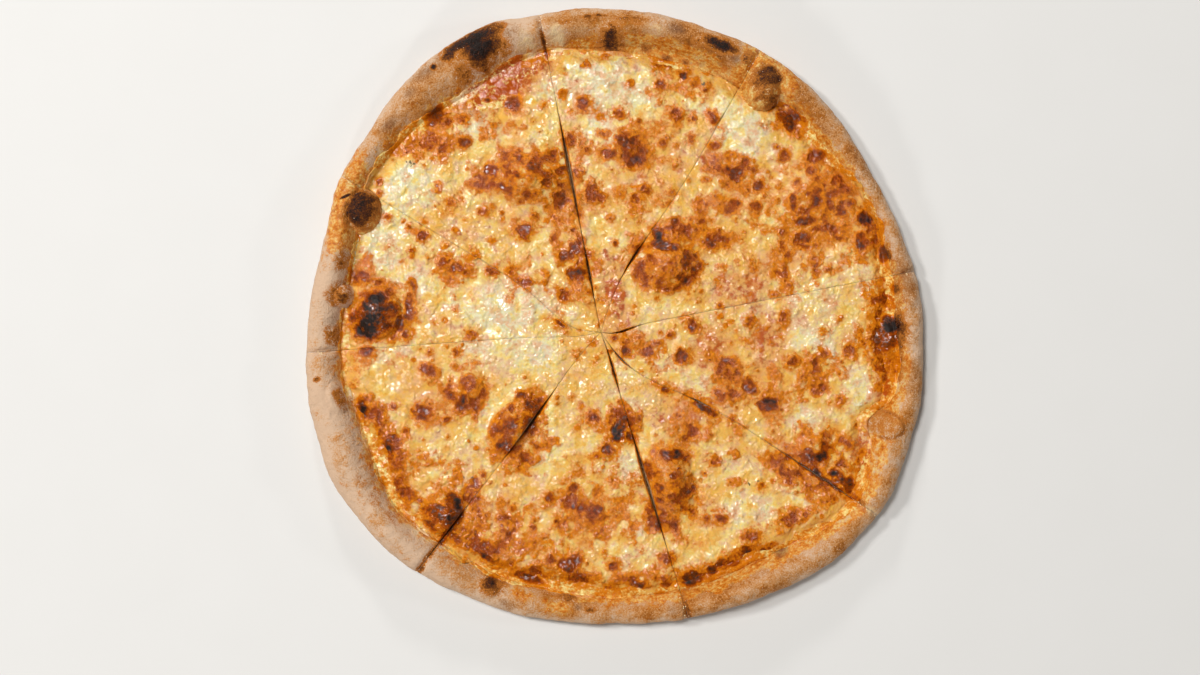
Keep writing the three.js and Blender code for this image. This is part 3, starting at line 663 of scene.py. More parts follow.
def blown(x, y):
    """Height of the blisters with a surface of their own, and how much the points are on one."""
    height, share = np.full_like(x, -RIM_HEIGHT), np.zeros_like(x)
    for bubble in BUBBLES:
        if bubble.top:
            away = reach(bubble, x, y)
            cap = bubble.top - bubble.lift * (1 - dome(bubble, x, y))
            height = np.where(away < 1, np.maximum(height, cap), height)
            share = np.maximum(share, smooth(1.25, 0.95, away))
    return height, share


def rim_relief(piece, share, radius, x, y, out, up):
    """How far the rim's uneven skin stands out; out and up point away from its section."""
    skin = 0
    for size, weight, octaves, seed in RIM_LUMPS:
        skin = skin + lumps(x, y, size, seed, octaves) * weight
    pinch = RIM_PINCH * bell(from_cut(piece, share, radius), PINCH_WIDTH) * np.maximum(up, 0)
    fade = np.clip(1 + up * 1.1, 0, 1) * smooth(-1, -0.75, out)
    return (skin * RIM_SKIN - pinch) * fade


def floor_height(piece, share, radius, x, y):
    """Upper side of the dough below the toppings, from the tip of a slice to its rim's crest."""
    angle = rim_angle(piece, share)
    foot = around_rim(TOPPED, angle)
    crest = mix(foot, around_rim(OUTLINE, angle), RIM_CREST)
    floor = mix(FLOOR_MIDDLE, FLOOR_EDGE, np.minimum(radius / foot, 1) ** 4)
    climbed = np.clip((radius - foot) / (crest - foot), 0, 1)
    floor = floor + (rim_height(angle) - FLOOR_EDGE) * inner_rise(climbed, angle)
    up = np.sqrt(1 - (1 - climbed) ** 2)
    floor = floor + up * rim_relief(piece, share, radius, x, y, climbed - 1, up)
    return floor + bubble_lift(piece, x, y)


# ------------------------------------------------------------------ meshes from rows


class Sheets:
    """Collects vertices, triangles and painted values, and makes one mesh of them."""

    def __init__(self, values=()):
        self.points, self.triangles, self.materials, self.smooths = [], [], [], []
        self.values = {name: [] for name in values}
        self.count = 0

    def add(self, x, y, z, **values):
        points = np.stack(np.broadcast_arrays(x, y, z), axis=-1).reshape(-1, 3)
        self.points.append(points)
        for name, kept in self.values.items():
            kept.append(np.broadcast_to(values.get(name, 0), len(points)).astype(np.float32))
        ids = np.arange(self.count, self.count + len(points))
        self.count += len(points)
        return ids

    def faces(self, triangles, material=0, smoothed=True, flipped=False):
        triangles = np.asarray(triangles).reshape(-1, 3)
        if flipped:
            triangles = triangles[:, ::-1]
        self.triangles.append(triangles)
        self.materials.append(np.full(len(triangles), material))
        self.smooths.append(np.full(len(triangles), smoothed))

    def widening(self, ids, rows, **how):
        """Triangles of a sheet whose row k has k + 1 points."""
        row, column = widening_places(rows - 1)
        inner = ids[row * (row + 1) // 2 + column]
        outer = ids[(row + 1) * (row + 2) // 2 + column]
        after = ids[(row + 1) * (row + 2) // 2 + column + 1]
        self.faces(np.stack([inner, outer, after], axis=-1), **how)
        within = column < row
        beside = ids[row[within] * (row[within] + 1) // 2 + column[within] + 1]
        self.faces(np.stack([inner[within], after[within], beside], axis=-1), **how)

    def grid(self, ids, **how):
        """Triangles between the rows of a two-dimensional array of points."""
        inner, outer = ids[:-1], ids[1:]
        self.faces(np.stack([inner[:, :-1], outer[:, :-1], outer[:, 1:]], axis=-1), **how)
        self.faces(np.stack([inner[:, :-1], outer[:, 1:], inner[:, 1:]], axis=-1), **how)

    def stitch(self, inner, outer, **how):
        """Triangles between two rows of different lengths."""
        triangles, i, j = [], 0, 0
        while i + 1 < len(inner) or j + 1 < len(outer):
            ahead = (i + 1) / max(len(inner) - 1, 1) < (j + 1) / max(len(outer) - 1, 1)
            if j + 1 >= len(outer) or (ahead and i + 1 < len(inner)):
                triangles.append((inner[i], outer[j], inner[i + 1]))
                i += 1
            else:
                triangles.append((inner[i], outer[j], outer[j + 1]))
                j += 1
        self.faces(triangles, **how)

    def mesh(self, name, materials):
        points = np.concatenate(self.points) * MM
        triangles = np.concatenate(self.triangles)
        mesh = bpy.data.meshes.new(name)
        mesh.vertices.add(len(points))
        mesh.vertices.foreach_set("co", points.astype(np.float32).ravel())
        mesh.loops.add(triangles.size)
        mesh.loops.foreach_set("vertex_index", triangles.astype(np.int32).ravel())
        mesh.polygons.add(len(triangles))
        mesh.polygons.foreach_set("loop_start", np.arange(0, triangles.size, 3, dtype=np.int32))
        mesh.polygons.foreach_set("use_smooth", np.concatenate(self.smooths))
        for material in materials:
            mesh.materials.append(material)
        mesh.polygons.foreach_set("material_index", np.concatenate(self.materials).astype(np.int32))
        for value, kept in self.values.items():
            attribute = mesh.attributes.new(value, "FLOAT", "POINT")
            attribute.data.foreach_set("value", np.concatenate(kept))
        mesh.update()
        mesh.validate()
        piece = bpy.data.objects.new(name, mesh)
        bpy.context.scene.collection.objects.link(piece)
        return piece


def widening_places(rows):
    """Row and column of every point of rows 0 to rows, where row k has k + 1 points."""
    row = np.repeat(np.arange(rows + 1), np.arange(1, rows + 2))
    return row, np.arange(row.size) - row * (row + 1) // 2


def widening_sides(ids, rows):
    """Points along the first and the last side of a widening sheet, and its outer row."""
    row = np.arange(rows + 1)
    first = row * (row + 1) // 2
    return ids[first], ids[first + row], ids[first[-1] : first[-1] + rows + 1]


def widening_grid(piece, rows, closed, edge):
    """share, radius, x and y of a widening sheet out to the radii that edge(angle) gives."""
    row, column = widening_places(rows)
    share = np.where(row > 0, column / np.maximum(row, 1), 0.5)
    tip = tip_radius(piece, closed)
    radius = mix(tip, edge(rim_angle(piece, share)), row / rows)
    x, y = place(piece, share, radius, closed)
    return share, radius, x, y


def settle(piece, slot, *nodes):
    """Hands a finished piece to the frame."""
    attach(piece, ROOT)
    if nodes:
        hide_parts(*nodes)


# ------------------------------------------------------------------ node trees


class Link:
    """A socket of a node tree, used as a value in expressions."""

    def __init__(self, maker, socket):
        self.maker, self.socket = maker, socket

    def math(self, operation, *values):
        return self.maker.add("ShaderNodeMath", {"operation": operation}, values)

    def __add__(self, other):
        return self.math("ADD", self, other)

    def __sub__(self, other):
        return self.math("SUBTRACT", self, other)

    def __mul__(self, other):
        return self.math("MULTIPLY", self, other)

    def __rsub__(self, other):
        return self.math("SUBTRACT", other, self)

    __radd__ = __add__
    __rmul__ = __mul__

    def ease(self, low, high):
        """0 below low, 1 above high, eased in between."""
        settings = {"interpolation_type": "SMOOTHSTEP"}
        return self.maker.add("ShaderNodeMapRange", settings, {0: self, 1: low, 2: high})


class Maker:
    """Adds nodes to a tree."""

    def __init__(self, tree):
        self.tree = tree

    def add(self, kind, settings=(), inputs=(), output=0):
        """Adds a node, with its settings first and then its inputs, and gives one output."""
        node = self.tree.nodes.new(kind)
        for name, value in dict(settings).items():
            setattr(node, name, value)
        named = inputs if isinstance(inputs, dict) else dict(enumerate(inputs))
        for name, value in named.items():
            if isinstance(value, Link):
                self.tree.links.new(value.socket, node.inputs[name])
            else:
                node.inputs[name].default_value = value
        return Link(self, node.outputs[output])

    def mix(self, factor, start, end, blend="MIX"):
        """Mixes two colours."""
        settings = {"data_type": "RGBA", "blend_type": blend, "clamp_factor": True}
        return self.add("ShaderNodeMix", settings, {0: factor, 6: rgba(start), 7: rgba(end)}, 2)

    def value(self, name):
        """A value painted on the vertices."""
        return self.add("ShaderNodeAttribute", {"attribute_name": name}, output="Fac")

    def noise(self, size, detail=2.0, offset=(0, 0, 0), roughness=0.5):
        """Noise on object coordinates with features of about that size in mm."""
        coordinates = self.add("ShaderNodeTexCoord", output="Object")
        moved = self.add("ShaderNodeVectorMath", {"operation": "ADD"}, (coordinates, offset))
        inputs = {"Vector": moved, "Scale": 1 / (size * MM)}
        inputs |= {"Detail": detail, "Roughness": roughness}
        return self.add("ShaderNodeTexNoise", {}, inputs)

    def bump(self, height):
        """Relief from a height in mm."""
        return self.add("ShaderNodeBump", {}, {"Strength": 1.0, "Distance": MM, "Height": height})


def rgba(value):
    return value if isinstance(value, Link) or len(value) == 4 else (*value, 1.0)


def new_material(name, **constants):
    """A material and its maker and main shader, with the constants set on its sockets."""
    material = bpy.data.materials.new(name)
    material.use_nodes = True
    shader = material.node_tree.nodes["Principled BSDF"]
    for socket, value in constants.items():
        shader.inputs[socket.replace("_", " ")].default_value = value
    return material, Maker(material.node_tree), shader


def feed(maker, shader, **links):
    for socket, link in links.items():
        maker.tree.links.new(link.socket, shader.inputs[socket.replace("_", " ")])


# ------------------------------------------------------------------ materials


def crust_material(tones):
    """Floury baked dough with toasted and burnt blisters, soot, soaked oil and pale folds."""
    material, maker, shader = new_material("baked_crust", Specular_IOR_Level=0.18)
    toast, char, soot, stain, pale = (maker.value(name) for name in RIM_VALUES)
    patchy = maker.noise(11, 3) - 0.5
    dusting = maker.noise(3, 3, (0.3, 0, 0)) - 0.5
    grain = maker.noise(0.8, 2, roughness=0.6) - 0.5
    rough = patchy * 1.4 + dusting * 0.9 + grain * 1.5
    skin = maker.mix((toast + rough).ease(0.0, 0.65), tones.flour, tones.dough)
    skin = maker.mix((toast + rough).ease(0.5, 1.0), skin, tones.toasted)
    skin = maker.mix((toast + rough).ease(0.66, 1.3) * 0.9, skin, tones.scorched)
    skin = maker.mix((pale + dusting * 0.8).ease(0.15, 0.75) * 0.85, skin, tones.crumb)
    fibres = maker.noise(1.3, 2, (0.9, 0, 0)) - 0.5
    soaked = stain + dusting * 1.4 + patchy * 0.8 + grain * 0.8
    oil = oily(maker, fibres * 1.8 + dusting * 1.6 + patchy, tones)
    skin = maker.mix(soaked.ease(0.15, 0.75) * 0.85, skin, oil)
    skin = maker.mix((soot + grain * 0.5 + dusting * 0.3).ease(0.05, 0.9) * 0.8, skin, tones.soot)
    heat = char + (dusting * 1.0 + grain * 1.1) * char.ease(0.0, 0.4)
    skin = browned(maker, skin, heat, tones.toasted, tones.scorched, tones.dark, tones.char)
    dull = 0.85 - soaked.ease(0.3, 1.0) * 0.45 - heat.ease(0.85, 1.1) * 0.4
    relief = maker.bump(grain * (heat.ease(0.3, 0.8) * 0.5 + 0.45) + dusting * 0.9)
    feed(maker, shader, Base_Color=skin, Roughness=dull, Normal=relief)
    return material


def crumb_material(tones):
    """The cut dough: cream crumb with pores."""
    material, maker, shader = new_material("dough_crumb", Roughness=0.9, Specular_IOR_Level=0.2)
    pores = maker.noise(1.6, 3)
    inside = maker.mix(pores.ease(0.35, 0.6), tones.dough, tones.crumb)
    feed(maker, shader, Base_Color=inside, Normal=maker.bump(pores * 0.7))
    return material


def underside_material(tones):
    """The base that lay on the oven floor: floury, with brown leopard spots."""
    material, maker, shader = new_material("baked_base", Roughness=0.85, Specular_IOR_Level=0.2)
    broad, dots, grain = maker.noise(26, 3), maker.noise(7, 3, (0.5, 0, 0)), maker.noise(0.9, 3)
    baked = (broad + (grain - 0.5) * 0.6).ease(0.35, 0.62)
    skin = maker.mix(baked, tones.flour, tones.dough)
    toasted = (dots + (broad - 0.5) * 0.6 + (grain - 0.5) * 0.3).ease(0.52, 0.64)
    skin = maker.mix(toasted * 0.85, skin, tones.toasted)
    burnt = (dots + (broad - 0.5) * 0.5 + (grain - 0.5) * 0.2).ease(0.64, 0.74)
    skin = maker.mix(burnt * 0.9, skin, tones.umber)
    feed(maker, shader, Base_Color=skin, Normal=maker.bump(grain * 0.25))
    return material


def browned(maker, under, heat, *tones):
    """Colours from pale to burnt through four tones as the heat goes from 0 to 1."""
    for low, high, tone in zip((0.05, 0.36, 0.64, 0.9), (0.32, 0.68, 0.94, 1.15), tones):
        under = maker.mix(heat.ease(low, high), under, tone)
    return under


# Colours that the one below is multiplied by; the lighter one paints glints and bright oily
# strands.
GLINT_LIGHTER = (1.4, 1.6, 2.0)
DARKER = (0.82, 0.66, 0.5)
YELLOWER = (1.0, 0.96, 0.66)
PINKER = (1.0, 0.88, 0.96)


def oily(maker, flecks, tones):
    """Oil and thin cheese with yellow, orange and browned flecks."""
    oil = maker.mix((flecks + 0.6).ease(0.0, 0.5), tones.butter, tones.gold)
    oil = maker.mix((flecks + 0.42).ease(0.05, 0.75), oil, tones.amber)
    return maker.mix((flecks + 0.2).ease(0.4, 1.0) * 0.9, oil, tones.rust)


def flecked_with_glints(maker, under, strength):
    """Finer and coarser flecks: painted glints and bright oily strands that lighten the colour
    below, and dark flecks that darken it.
    """
    for size, share in ((1.1, 1.0), (2.3, 0.8)):
        flecks = maker.noise(size, 1, (size, 0, 0))
        under = maker.mix(flecks.ease(0.5, 0.75) * strength * share, under, GLINT_LIGHTER, "MULTIPLY")
        under = maker.mix(flecks.ease(0.5, 0.25) * strength * share, under, DARKER, "MULTIPLY")
    return under


def sauce_material(tones):
    """Cooked tomato sauce and thin cheese with oil and browned places."""
    material, maker, shader = new_material("tomato_sauce", Specular_IOR_Level=0.3)
    red, toast, pale = (maker.value(name) for name in SAUCE_VALUES)
    patchy = maker.noise(8, 3) - 0.5
    pulp = maker.noise(3, 3, (0.3, 0, 0)) - 0.5
    fibres = maker.noise(1.2, 2, (0.9, 0, 0)) - 0.5
    swell = maker.noise(3.4, 0.5, (0.7, 0, 0))
    rough = patchy * 2.2 + pulp * 1.4 + fibres * 1.6
    wet = oily(maker, rough, tones)
    wet = maker.mix((pale + rough * 0.8).ease(0.25, 0.8) * 0.85, wet, tones.crumb)
    wet = maker.mix((red * 0.9 + rough * 0.9).ease(0.3, 0.95) * 0.9, wet, tones.tomato)
    heat = toast + rough * 0.3
    wet = browned(maker, wet, heat, tones.amber, tones.rust, tones.umber, tones.char)
    # Painted glints and bright oily flecks on the sauce.
    wet = flecked_with_glints(maker, wet, 0.4)
    relief = maker.bump(swell * 1.0 + pulp * 0.5 + fibres * 0.15)
    dull = 0.15 + pulp * 0.1 + heat.ease(0.8, 1.05) * 0.5
    feed(maker, shader, Base_Color=wet, Roughness=dull, Normal=relief)
    return material


def cheese_material(tones):
    """Melted mozzarella: milky pools, oily thin places, sauce below and browned blisters."""
    constants = {"Subsurface_Weight": 0.1, "Subsurface_Scale": 0.0015, "Specular_IOR_Level": 0.32}
    material, maker, shader = new_material("melted_mozzarella", **constants)
    milk, sauce, toast = (maker.value(name) for name in ("milk", "sauce", "toast"))
    blotches = maker.noise(8, 3, roughness=0.55) - 0.5
    curds = maker.noise(3.2, 2, (0.4, 0, 0)) - 0.5
    fine = maker.noise(1.3, 2, (0.8, 0, 0)) - 0.5
    clumps = maker.noise(7, 2, (0.6, 0, 0)).ease(0.42, 0.62)
    rough = blotches * 2.4 + curds * 1.6 + fine * 0.8
    melt = maker.mix((milk + rough).ease(-0.15, 0.5), tones.gold, tones.butter)
    melt = maker.mix((milk + rough).ease(0.3, 0.9), melt, tones.cream)
    red = sauce + curds * 1.6 + blotches * 1.2 + fine * 0.8
    melt = maker.mix(red.ease(0.1, 0.6) * 0.6, melt, tones.blush)
    melt = maker.mix(red.ease(0.55, 1.2) * 0.9, melt, tones.tomato)
    tinge = maker.noise(5.5, 2, (1.1, 0, 0))
    melt = maker.mix(tinge.ease(0.48, 0.7) * 0.75, melt, YELLOWER, "MULTIPLY")
    melt = maker.mix(tinge.ease(0.52, 0.32) * 0.7, melt, PINKER, "MULTIPLY")
    heat = toast + (curds * 0.6 + blotches * 0.4 + fine * 0.55) * toast.ease(0.0, 0.35)
    melt = browned(maker, melt, heat, tones.amber, tones.rust, tones.umber, tones.char)
    # Painted glints and bright strands, strongest on browned cheese.
    melt = flecked_with_glints(maker, melt, 0.18 + heat.ease(0.05, 0.4) * 0.4)
    dull = 0.09 + blotches * 0.05 + heat.ease(0.8, 1.05) * 0.5
    swell, ripples = maker.noise(9, 0, (0.1, 0, 0)), maker.noise(2.8, 1.0, (0.7, 0, 0))
    crinkles = maker.noise(1.3, 1.0, (0.2, 0, 0))
    wet = clumps + heat.ease(0.1, 0.4) * 0.6 - heat.ease(0.5, 0.8)
    relief = maker.bump(swell * 1.2 + ripples * (wet * 0.9 + 0.45) + crinkles * (wet * 0.16 + 0.05))
    feed(maker, shader, Base_Color=melt, Roughness=dull, Normal=relief)
    return material


# ------------------------------------------------------------------ dough

FLOOR_ROWS = 120
RIM_ROWS = 84
UNDERSIDE, CUT_FACES = 1, 2  # which of a slice's materials they have; the rest has the first
RIM_VALUES = ("toast", "char", "soot", "stain", "pale")
FOLD_DEPTH = 0.5
FOLD_WIDTH = 0.7
# (angle, width, extra) browning of the rim all round.
RIM_TOAST = (
    (82, 24, 0.5), (25, 45, 0.35), (325, 35, 0.3), (270, 40, 0.4), (215, 28, -0.08),
    (128, 20, 0.35), (185, 25, -0.12),
)  # fmt: skip
# (angle, width, extra) share of the rim that oil from the toppings has soaked into.
OILY_RIM = (
    (35, 20, 0.3), (352, 22, 0.3), (75, 18, 0.16), (326, 12, 0.3), (290, 25, 0.14), (142, 12, 0.15),
)  # fmt: skip


def rim_points(piece, closed, columns, rows):
    """x, y, z, share across the slice and radius of the rim's skin, from the foot inside it."""
    share = np.linspace(0, 1, columns + 1)[None, :]
    section = np.linspace(180, -90, rows + 1)[1:, None] * RAD
    out, up = np.cos(section), np.sin(section)
    angle = rim_angle(piece, share)
    foot, outline = around_rim(TOPPED, angle), around_rim(OUTLINE, angle)
    crest = mix(foot, outline, RIM_CREST)
    height = rim_height(angle)
    inside = crest + (crest - foot) * out
    outside = crest + (outline - crest) * out
    under = outline - RIM_UNDERCUT * (1 - out)
    radius = np.where(out < 0, inside, np.where(up >= 0, outside, under))
    widest = height * RIM_WIDEST
    climb = FLOOR_EDGE + (height - FLOOR_EDGE) * inner_rise(1 + out, angle)
    shoulder = mix(widest, height, up)
    level = np.where(out < 0, climb, np.where(up >= 0, shoulder, widest * (1 + up)))
    x, y = place(piece, share, radius, closed)
    lifted = bubble_lift(piece, x, y) * np.where(out < 0, 1, smooth(0, 0.6, up))
    lifted = lifted - FOLD_DEPTH * folds(x, y) * np.maximum(up, 0)
    push = rim_relief(piece, share, radius, x, y, out, up)
    radius = radius + push * np.maximum(out, 0)
    x, y = place(piece, share, radius, closed)
    z = level + lifted + push * np.maximum(up, 0)
    above = np.maximum(0, blown(x, y)[0] - z)
    return x, y, z + above * np.where(out < 0, 1, smooth(0, 0.6, up)), share, radius


def folds(x, y):
    """How deep in a fold round a blown blister the points are, from 0 to 1."""
    depth = np.zeros_like(x)
    around = np.hypot(x - CUT_CENTRE[0], y - CUT_CENTRE[1])
    for angle, radius, size, strength in FOLDS:
        middle_x, middle_y = from_centre(angle, radius)
        away = np.hypot(x - middle_x, y - middle_y) + 1.2 * lumps(x, y, 9, 211)
        inward = smooth(-0.2, 0.6, (radius - around) / size)
        depth = np.maximum(depth, strength * bell(away - size, FOLD_WIDTH) * inward)
    return depth


def rim_paint(piece, x, y, share, radius, z):
    """How toasted (with painted shade in the folds), burnt, sooty, stained and pale the rim is; its
    lowest part has no marks.
    """
    angle = rim_angle(piece, share)
    marked = smooth(0.15, 0.6, z / (RIM_WIDEST * rim_height(angle))).ravel()
    foot, outline = around_rim(TOPPED, angle), around_rim(OUTLINE, angle)
    across = np.clip((radius - foot) / (outline - foot), 0, 1)
    flat = (x.ravel(), y.ravel(), lumps(x, y, 6, 41, 2).ravel() * 0.35)
    broad = lumps(x, y, 24, 51, 3) + 0.35 * lumps(x, y, 7, 53, 2)
    toast = 0.2 + 0.38 * broad - 0.4 * smooth(0.7, 1, across) + 0.1 * smooth(0.4, 0.0, across)
    # Folds are painted browner too: painted shade in their creases.
    toast = swelled(toast, RIM_TOAST, angle) + 0.35 * folds(x, y)
    uneven = 0.12 * lumps(x, y, 9, 61, 2) + 0.1 * lumps(x, y, 3, 231, 2)
    soaked = swelled(0.12, OILY_RIM, angle)
    oiled = 0.75 * smooth(soaked + 0.1, soaked - 0.1, across + uneven)
    beside = (x - FLAT_BLISTER.x + y - FLAT_BLISTER.y) / FLAT_BLISTER.a
    ring = bell(6 * (reach(FLAT_BLISTER, x, y) - 0.95), 1)
    ring = ring * (0.12 + 0.66 * smooth(0.5, 1.3, beside) + 0.6 * lumps(x, y, 6, 55))
    blisters = np.maximum(painted(RIM_BLISTERS, *flat, 0.3), ring.ravel())
    oiled = oiled.ravel() * (1 - np.minimum(1, 2 * blisters + blown(x, y)[1].ravel()))
    stain = marked * painted(STAINS, *flat, 0.9) * (1 - np.minimum(1, 1.2 * blisters))
    return {
        "toast": toast.ravel(),
        "char": marked * np.maximum(painted(RIM_CHAR, *flat, 0.75), blisters),
        "soot": marked * painted(SOOT, *flat, 0.95),
        "stain": np.maximum(stain, oiled),
        "pale": 0.75 * marked * painted(PALE_DOUGH, *flat, 0.95),
    }


def crust_piece(piece, sizes, materials):
    sheets = Sheets(RIM_VALUES)
    closed = sizes.closed_cut / MM
    share, radius, x, y = widening_grid(
        piece, FLOOR_ROWS, closed, lambda angle: around_rim(TOPPED, angle)
    )
    z = np.maximum(floor_height(piece, share, radius, x, y), blown(x, y)[0])
    top = sheets.add(x, y, z, **rim_paint(piece, x, y, share, radius, np.maximum(z, RIM_HEIGHT)))
    floor_share, floor_radius = share, radius
    sheets.widening(top, FLOOR_ROWS)
    start, end, edge = widening_sides(top, FLOOR_ROWS)
    x, y, z, share, radius = rim_points(piece, closed, sizes.rim_columns, RIM_ROWS)
    z[-1] = 0
    rim = sheets.add(x, y, z, **rim_paint(piece, x, y, share, radius, z)).reshape(z.shape)
    sheets.stitch(edge, rim[0])
    sheets.grid(rim)

    # Below, the cuts are closed, so that the floor does not show through them.
    start_shut, end_shut = (cut._replace(openings=()) for cut in (piece.start, piece.end))
    shut = piece._replace(start=start_shut, end=end_shut)
    rows = np.arange(FLOOR_ROWS + 1)
    first, last = rows * (rows + 1) // 2, rows * (rows + 3) // 2
    below_start = sheets.add(*place(shut, floor_share[first], floor_radius[first], closed), 0)
    below_end = sheets.add(*place(shut, floor_share[last[1:]], floor_radius[last[1:]], closed), 0)
    below_end = np.append(below_start[:1], below_end)
    flat = {"material": UNDERSIDE, "smoothed": False}
    sheets.faces([(below_start[0], below_end[1], below_start[1])], **flat)
    sheets.grid(np.stack([below_end[1:], below_start[1:]], axis=0), flipped=True, **flat)
    sheets.stitch(np.array([below_start[-1], below_end[-1]]), rim[-1], flipped=True, **flat)

    cut = {"material": CUT_FACES, "smoothed": False}
    sheets.grid(np.stack([start, below_start]), **cut)
    sheets.grid(np.stack([below_end, end]), **cut)
    corner = below_start[-1]
    ring = [start[-1], *rim[:, 0]]
    sheets.faces([(corner, after, before) for before, after in zip(ring, ring[1:])], **cut)
    corner = below_end[-1]
    ring = [end[-1], *rim[:, -1]]
    sheets.faces([(corner, before, after) for before, after in zip(ring, ring[1:])], **cut)
    return sheets.mesh(f"baked_dough_{piece.number}", materials)


# ------------------------------------------------------------------ sauce

SAUCE_VALUES = ("red", "toast", "pale")
SAUCE_ROWS = 60
MARGIN_ROWS = 40
SAUCE_TUCK = 4  # width of the pulpy margin that lies under the cheese's edge
MARGIN_DIPS = 0.12  # how far the margin's upper side ends in the dough
MARGIN_ROOT = 0.3  # and its lower side
PLAIN_CLIMB = 0.8
# (angle, width, extra) how far the toppings climbed up the rim.
TOPPING_CLIMBS = (
    (28, 14, 3.5), (48, 6, 2.5), (5, 14, 1), (77, 15, -4.6), (345, 16, 0.5), (326, 9, 2.5),
    (305, 12, -1), (285, 16, -1.5), (262, 20, 0.5), (240, 10, 1), (142, 12, 2.5), (125, 8, 1.5),
    (108, 6, 2), (170, 12, 1), (341.8, 3.2, -5),
)  # fmt: skip


def climb(angle):
    """How far the toppings climbed from the rim's foot."""
    return swelled(PLAIN_CLIMB, TOPPING_CLIMBS, angle)


def sauce_edge(piece, share, closed):
    angle = rim_angle(piece, share)
    foot = around_rim(TOPPED, angle)
    x, y = place(piece, share, foot, closed)
    climbed = climb(angle)
    return foot + climbed + (1 + 0.4 * np.maximum(0, climbed)) * lumps(x, y, 8, 71, 3)


def sauce_piece(piece, sizes, material):
    sheets = Sheets(SAUCE_VALUES)
    closed = sizes.closed_cut / MM
    share, radius, x, y = widening_grid(
        piece, SAUCE_ROWS, closed, lambda angle: cheese_radius(angle) - SAUCE_TUCK
    )
    dough = floor_height(piece, share, radius, x, y)
    raised = LAYER_GAP / 2 + SAUCE_THICKNESS + LAYER_GAP
    top = sheets.add(x, y, dough + raised)
    bottom = sheets.add(x, y, dough + LAYER_GAP / 2)
    sheets.widening(top, SAUCE_ROWS)
    sheets.widening(bottom, SAUCE_ROWS, flipped=True)
    start, end, edge = widening_sides(top, SAUCE_ROWS)
    below_start, below_end, below_edge = widening_sides(bottom, SAUCE_ROWS)

    share = np.linspace(0, 1, sizes.rim_columns + 1)[None, :]
    outward = np.linspace(0, 1, MARGIN_ROWS + 1)[1:, None]
    angle = rim_angle(piece, share)
    radius = mix(cheese_radius(angle) - SAUCE_TUCK, sauce_edge(piece, share, closed), outward)
    x, y = place(piece, np.broadcast_to(share, radius.shape), radius, closed)
    dough = floor_height(piece, share, radius, x, y)
    pulp = lumps(x, y, 3.5, 81, 2) * 0.25 + lumps(x, y, 1.4, 91) * 0.08
    body = (raised + pulp) * np.sqrt(1 - outward**4) - MARGIN_DIPS * outward**4
    flat = (x.ravel(), y.ravel(), lumps(x, y, 5, 101, 2).ravel() * 0.4)
    red = 0.1 + painted(SAUCE_SHOWS, *flat, 0.4)
    toast = np.maximum(painted(TOASTED, *flat, 0.5), 0.12 + 0.3 * lumps(x, y, 12, 111, 2).ravel())
    toast = np.maximum(toast - red * 0.5, painted((*BLISTERS, *RIM_CHAR), *flat, 0.5))
    pale = painted((*PALE_DOUGH, *MILKY), *flat, 0.5)
    paints = {"red": red, "toast": toast, "pale": pale}
    margin = sheets.add(x, y, dough + body, **paints).reshape(x.shape)
    under = sheets.add(x, y, dough + mix(LAYER_GAP / 2, -MARGIN_ROOT, outward)).reshape(x.shape)
    sheets.stitch(edge, margin[0])
    sheets.grid(margin)
    sheets.stitch(margin[-1], under[-1])
    sheets.stitch(below_edge, under[0], flipped=True)
    sheets.grid(under, flipped=True)
    sides = (
        (np.append(start, margin[:, 0]), np.append(below_start, under[:, 0]), False),
        (np.append(end, margin[:, -1]), np.append(below_end, under[:, -1]), True),
    )
    for above, below, flipped in sides:
        sheets.stitch(above, below, smoothed=False, flipped=flipped)
    return sheets.mesh(f"tomato_sauce_{piece.number}", [material])


# ------------------------------------------------------------------ cheese

CHEESE_BACK_ROWS = 130
EDGE_WANDER = 3.2
EDGE_SINKS = 0.45  # depth of the cheese's edge in the sauce
EDGE_SHARE = 0.03  # of its thickness, which the cheese keeps at its edge
LIP_WIDTH = 1.2  # of the rounded edge at a cut
LIP_SINKS = 0.15
OPEN_LIP_SINKS = 0.5
# Little blisters: how they are drawn, out to which radius, how large and how brown they are.
SMALL_SEED = 7
SMALL_REACH = 150
SMALLEST = 0.5
SMALL_SPREAD = 1.7
SMALL_LEVELS = (0.2, 0.7)
BLISTER_HEIGHT = 0.45  # how far the browned blisters stand up
HALO = 2  # how far the browning reaches round a blister
FLANK_RING_LIFT = 5  # a bubble that lifts the cheese by more gets a darker ring on its flank: browning and painted shade
# (angle, width, extra) where the cheese ran out to the rim, or kept away from it.
CHEESE_REACHES = (
    (162, 4, 3), (191, 6, 1.5), (221, 6, -1), (90, 10, 2), (240, 6, 2), (135, 5, -4), (153, 6, 3),
    (357, 8, -3), (341.8, 5, -3), (330, 5, -2), (56.2, 6, 2), (112, 10, 2),
)  # fmt: skip


def small_blisters(count):
    """Little browned blisters all over the cheese, in mm."""
    draw = np.random.default_rng(SMALL_SEED)
    blisters = []
    for _ in range(count):
        radius = SMALL_REACH * math.sqrt(draw.uniform(0, 1))
        x, y = from_centre(draw.uniform(0, 360), radius)
        if any(reach(pool, x, y) < 0.9 for pool in MILKY):
            continue
        size = SMALLEST + SMALL_SPREAD * draw.uniform(0, 1) ** 2.5
        level = draw.uniform(*SMALL_LEVELS)
        depth, tilt = size * draw.uniform(0.75, 1.2), draw.uniform(0, 90)
        blisters.append(Spot(x, y, size, depth, tilt, level))
    return blisters


